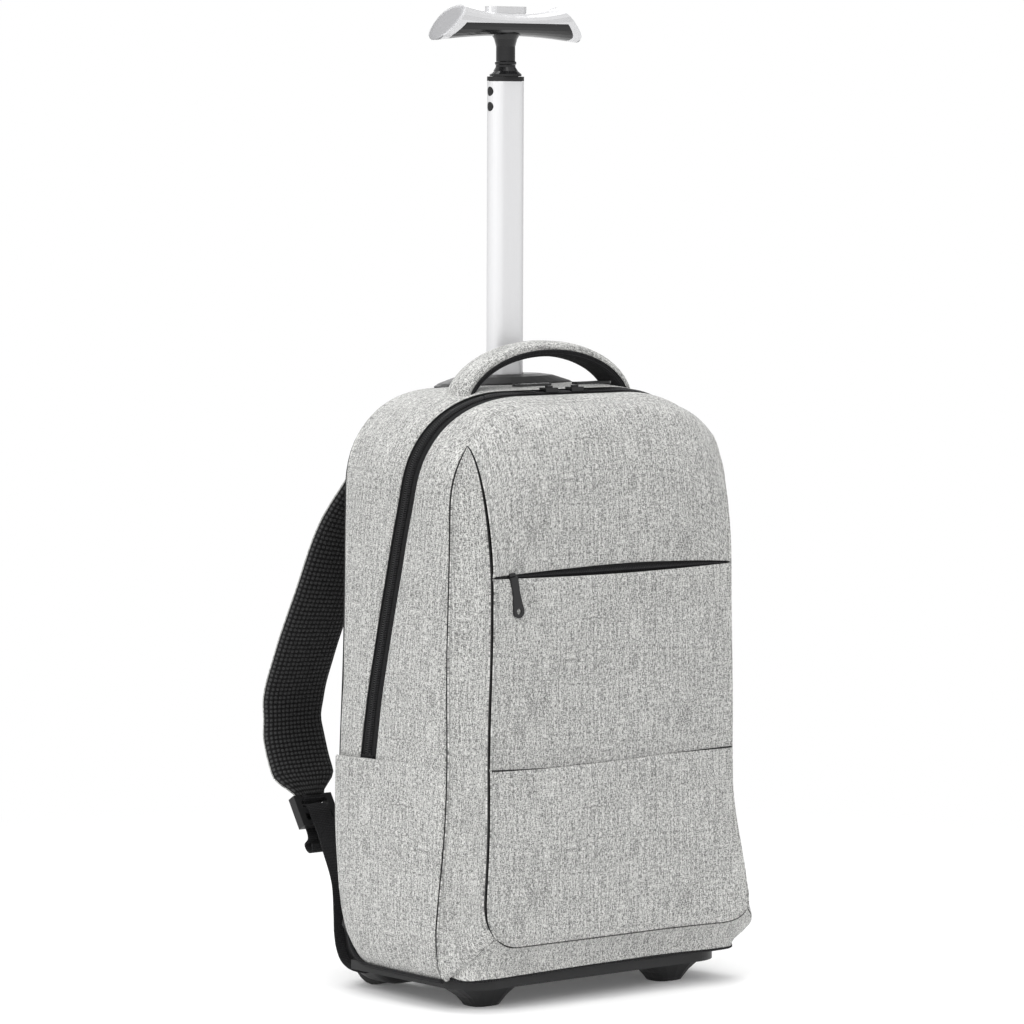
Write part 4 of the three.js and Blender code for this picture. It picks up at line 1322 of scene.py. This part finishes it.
def make_back():
    """The mesh back panel, turned under at its foot, its binding and its four pads."""
    edge = slump(arch_outline(3.2))
    z_low, z_high = float(edge[:, 2].min()), float(edge[:, 2].max())
    zs = z_low + (z_high - 0.6 - z_low) * steps(470, 9)[::-1]
    half_of = np.interp(zs, edge[: len(edge) // 2, 2], -edge[: len(edge) // 2, 0])
    us = steps(290, 8)
    x = (2 * us[None] - 1) * half_of[:, None]
    y = 30.2 + 1.2 * (1 - (2 * us[None] - 1) ** 2) * np.ones_like(x)
    grid = np.stack([x, y, np.broadcast_to(zs[:, None], x.shape)], axis=-1)
    turn = np.linspace(0, math.pi / 2, 9)[1:]
    foot_y = 30.2 - REAR_HEEL * (1 - np.cos(turn))
    foot_z = z_low - (z_low - BASE_Z - 1) * np.sin(turn)
    foot = np.stack(np.broadcast_arrays(x[-1][None], foot_y[:, None], foot_z[:, None]), axis=-1)
    grid = np.concatenate([grid, foot])[:, ::-1]
    fabric("back_panel_cloth", grid, "air_mesh", "bag", ["back_panel"], thickness=2.0)
    path = edge.copy()
    path[:, 1] = 28.8
    cord_line("back_binding", path, 2.0, "webbing")
    for name, x0, x1, z0, z1 in (
        ("upper_left", 16, 112, 236, 432), ("upper_right", -112, -16, 236, 432),
        ("lower_left", 16, 124, 84, 224), ("lower_right", -124, -16, 84, 224),
    ):
        back_pad(name, -x1, -x0, z0, z1)


def back_pad(name, x0, x1, z0, z1):
    """A foam pad under air mesh: crowned, with sides that pull in between its corners."""
    us, vs = np.linspace(-1, 1, 34), np.linspace(-1, 1, 44)
    u, v = np.meshgrid(us, vs)
    half_x, half_z = (x1 - x0) / 2, (z1 - z0) / 2
    pull_x = 1 - 0.035 * (1 - v ** 2)
    pull_z = 1 - 0.02 * (1 - u ** 2)
    round_u = u * np.sqrt(1 - 0.07 * v ** 8)
    round_v = v * np.sqrt(1 - 0.07 * u ** 8)
    far = np.maximum(np.abs(u), np.abs(v))
    rise = 7.0 * (1 - far ** 5) ** 0.45 + 1.4 * (1 - u ** 2) * (1 - v ** 2)
    x = (x0 + x1) / 2 - round_u * half_x * pull_x
    z = (z0 + z1) / 2 - round_v * half_z * pull_z
    grid = np.stack([x, 31.2 + rise, z], axis=-1)
    points, faces, uv = sheet_data(grid, 1.2)
    pad = make_object(f"back_pad_{name}", points, faces, "air_mesh", "bag", uv=uv)
    rim = np.concatenate([grid[0], grid[1:, -1], grid[-1, -2::-1], grid[-2:0:-1, 0]])
    cord_line(f"back_pad_{name}_seam", rim + np.array([0, 0.5, 0]), 0.9, "webbing", closed=True)


make_back()

# ------------------------------------------------------------------ under the bag


def make_underside():
    """The bindings round the lower edge of the cloth, and the bottom."""
    path = slump(bottom_edge(np.linspace(0, 1, 120))) + np.array([0, 0.6, -0.5])
    cord_line("front_foot_binding", path, 1.9, "webbing")
    for side, sign in SIDES:
        y = np.linspace(-104, 27.8, 50)
        s = 0.0 if sign < 0 else ARCH_LENGTH
        path = slump(arch_point(np.full_like(y, s), y))
        path[:, 0] += sign * -0.6
        path[:, 2] -= 0.6
        cord_line(f"side_foot_binding_{side}", path, 1.9, "webbing")
    us = np.linspace(0, 1, 60)
    front = slump(bottom_edge(us)) + np.array([0, 2.0, 0.2])
    x = front[:, 0]
    back = np.stack([x * 0.985, np.full_like(x, 1.0), np.full_like(x, BASE_Z + 1.0)], axis=1)
    vs = np.linspace(0, 1, 30)[:, None, None]
    grid = front[None] * (1 - vs) + back[None] * vs
    grid[..., 2] = np.maximum(grid[..., 2], 26.4) + 0.6
    fabric("bottom_cloth", grid[::-1], "lining_fabric", "bag", ["bottom_panel"], thickness=1.0)


make_underside()

# ------------------------------------------------------------------ inside of the bag

POLE_Y = -1.0


def make_inside():
    """The lining in front of the pole and the laptop sleeve sewn on it, seen when the flap folds down."""
    edge = arch_outline(7.5)
    half = len(edge) // 2
    zs = np.linspace(495.5, 31, 80)
    side = np.interp(zs, edge[:half, 2], -edge[:half, 0])
    us = np.linspace(-1, 1, 50)
    x = us[None] * np.minimum(side, 143)[:, None]
    y = -17.7 - 0.5 * np.sin(x / 31.0 + zs[:, None] / 53.0) ** 2
    grid = np.stack([x, y, np.broadcast_to(zs[:, None], x.shape)], axis=-1)
    fabric("back_lining_cloth", grid, "lining_fabric", "bag", ["back_lining"], thickness=1.0)

    width, low, high = 130.0, 42.0, 330.0
    us, vs = steps(2 * width, 7), steps(high - low, 7)
    x = (2 * us[None] - 1) * width * np.ones_like(vs[:, None])
    z = high - vs[:, None] * (high - low) * np.ones_like(us[None])
    sag = 3.0 * np.sin(us[None] * math.pi) ** 2 * smoothstep(1 - vs[:, None], 0.6, 1.0)
    full = (np.sin(us[None] * math.pi) * np.sin(np.clip(vs[:, None] * 0.5 + 0.5, 0, 1) * math.pi)) ** 0.35
    grid = np.stack([x, -20.5 - 11.0 * full, z - sag], axis=-1)
    sleeve = sewn(grid, "SWE", 1.5, 5.0)
    fabric("laptop_sleeve_cloth", sleeve, "lining_fabric", "bag", ["laptop_sleeve"], thickness=1.2)
    cord_line("laptop_sleeve_binding", grid[0] + np.array([0, 0.4, 0]), 1.8, "webbing")


def make_button_spring():
    """The coil under the push button, drawn at rest."""
    turns = 3.5
    turn = np.linspace(0, 2 * math.pi * turns, 120)
    rise = np.linspace(805.5, 807.8, 120)
    coil = np.stack([4.2 * np.cos(turn), POLE_Y + 4.2 * np.sin(turn), rise], axis=1)
    points, faces = tube_data(coil, 0.25, 8, False)
    spring = make_object("button_spring_coil", points, faces, "steel", "upper_stage", ["button_spring"])
    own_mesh(spring)


make_inside()
make_button_spring()

# ------------------------------------------------------------------ brushed ends of the grip

# the leaning end faces of the grip: (x, z) of the line they lie on, and the grip's half sizes
GRIP_END = {"top": (49.0, 820.5), "bottom": (74.5, 794.5), "half_length": 78.0, "half_depth": 16.5}


def grip_outline(inset, lift, sign, count=40):
    """Outline of the grip's leaning end face, drawn in by inset and lifted off it."""
    (x0, z0), (x1, z1) = GRIP_END["top"], GRIP_END["bottom"]
    keys = []
    normal = np.array([-(z1 - z0), x1 - x0])
    normal = normal / np.linalg.norm(normal)
    for t in np.linspace(-0.2, 1.4, 800):
        x, z = x0 + (x1 - x0) * t, z0 + (z1 - z0) * t
        high = 814 + 7.5 * (x / 55) ** 2
        low = 795 - 5 * (x / GRIP_END["half_length"]) ** 2
        share = abs((z - (high + low) / 2) / ((high - low) / 2))
        if share < 1:
            half = GRIP_END["half_depth"] * (1 - share ** 2.15) ** (1 / 2.15)
            keys.append((x, half, z))
    keys = np.array(keys)
    centre = np.array([keys[:, 0].mean(), 0, keys[:, 2].mean()])
    back = keys * np.array([1, -1, 1])
    ring = np.concatenate([keys, back[::-1]])
    run = run_of(ring)
    where = np.linspace(0, run[-1], count, endpoint=False)
    ring = np.stack([np.interp(where, run, ring[:, k]) for k in range(3)], axis=1)
    span = np.linalg.norm(ring - centre, axis=1, keepdims=True)
    ring = centre + (ring - centre) * (1 - inset / span)
    ring = ring + np.array([normal[0], 0, normal[1]]) * lift
    return (ring + np.array([0, POLE_Y, 0])) * np.array([sign, 1, 1])


for side, sign in SIDES:
    profile = ((1.3, -0.6), (1.3, 0.25), (1.8, 0.5), (6.0, 0.62), (12.0, 0.65))
    rings = [grip_outline(inset, lift, sign) for inset, lift in profile]
    if sign < 0:
        rings = [ring[::-1] for ring in rings]
    points, faces = loft_data(rings)
    make_object(f"grip_end_cap_{side}", points, faces, "brushed_cap", "upper_stage")

# ------------------------------------------------------------------ wheel housings

POD = {"inner": 83.0, "bend": 106.0, "outer": 141.0, "front": -4.0, "back": 52.0, "low": 4.0, "high": 64.0}
WHEEL_CENTRE = (100.0, 38.0, 28.0)


def housing_ring(x):
    """Section of the housing at a distance from the middle of the bag, smaller towards its outside."""
    t = np.clip((x - POD["bend"]) / (POD["outer"] - POD["bend"]), 0, 1)
    shrink = 1 - math.sqrt(max(1 - (0.985 * t) ** 2, 0))
    low = POD["low"] + 38 * shrink
    high = POD["high"] - 4 * shrink
    front = POD["front"] + 6 * shrink
    back = POD["back"] - 15 * shrink
    keys = []
    for cy, cz, r, start in (
        (back - 24, low + 24, 24, -90), (back - 8, high - 8, 8, 0), (front + 4, high - 4, 4, 90),
        (front + 14, low + 14, 14, 180),
    ):
        r = min(r, (high - low) / 2)
        cz = min(max(cz, low + r), high - r)
        for k in range(9):
            angle = math.radians(start + 90 * k / 8)
            keys.append((x, cy + r * math.cos(angle), cz + r * math.sin(angle)))
    return np.array(keys)


def make_housing(side, sign):
    """The moulded housing over a wheel, with the wheel's space cut out of it."""
    xs = [POD["inner"], POD["inner"] + 0.8, 95.0, POD["bend"]]
    taper = POD["outer"] - POD["bend"]
    xs += [POD["bend"] + taper * math.sin(k / 12 * math.pi / 2) for k in range(1, 13)]
    rings = [housing_ring(x) * np.array([sign, 1, 1]) for x in xs]
    if sign < 0:
        rings = [ring[::-1] for ring in rings]
    points, faces = loft_data(rings)
    housing = f"wheel_housing_{side}"
    shell = make_object(f"{housing}_shell", points, faces, "black_plastic", "bag", [housing])
    bpy.ops.mesh.primitive_cylinder_add(
        vertices=72, radius=31 * MM, depth=27 * MM,
        location=(sign * WHEEL_CENTRE[0] * MM, WHEEL_CENTRE[1] * MM, WHEEL_CENTRE[2] * MM),
        rotation=(0, math.pi / 2, 0),
    )
    cut_with(shell, bpy.context.object)
    for polygon in shell.data.polygons:
        polygon.use_smooth = False


for side, sign in SIDES:
    make_housing(side, sign)

# ------------------------------------------------------------------ floor


def make_floor():
    """A pale floor that takes the bag's shadow, with a faint painted glow everywhere that lightens that
    shadow, glowing plain white away from it.
    """
    size = 12000.0
    points = [(-size, -size, 0), (size, -size, 0), (size, size, 0), (-size, size, 0)]
    mesh = bpy.data.meshes.new("floor")
    mesh.from_pydata((np.array(points) * MM).tolist(), [], [(0, 1, 2, 3)])
    n = Nodes("floor")
    far = n.add("ShaderNodeVectorMath", 1, {"operation": "LENGTH"}, i0=n.add("ShaderNodeTexCoord", 3))
    glow = n.ramp(far, 0.2, 1.1)
    # painted light: the floor glows at least 0.09 even beneath the bag, lightening its shadow; further out
    # the glow makes it plain white
    n.set(
        Base_Color=n.mix(glow, (0.9, 0.9, 0.9), (0, 0, 0)), Roughness=0.9, Specular_IOR_Level=0.0,
        Emission_Color=(1, 1, 1), Emission_Strength=n.math("MAXIMUM", glow, 0.09),
    )
    mesh.materials.append(n.material)
    floor = bpy.data.objects.new("floor", mesh)
    bpy.context.collection.objects.link(floor)


make_floor()

# ------------------------------------------------------------------ carried-over CAD nodes

for entry in frame["record"]["subparts"]:
    node = frame["nodes"].get(entry["node"])
    if node is not None and node.type == "MESH":
        node.data.materials.clear()
        node.data.materials.append(LOOK[entry["material_slot"]])
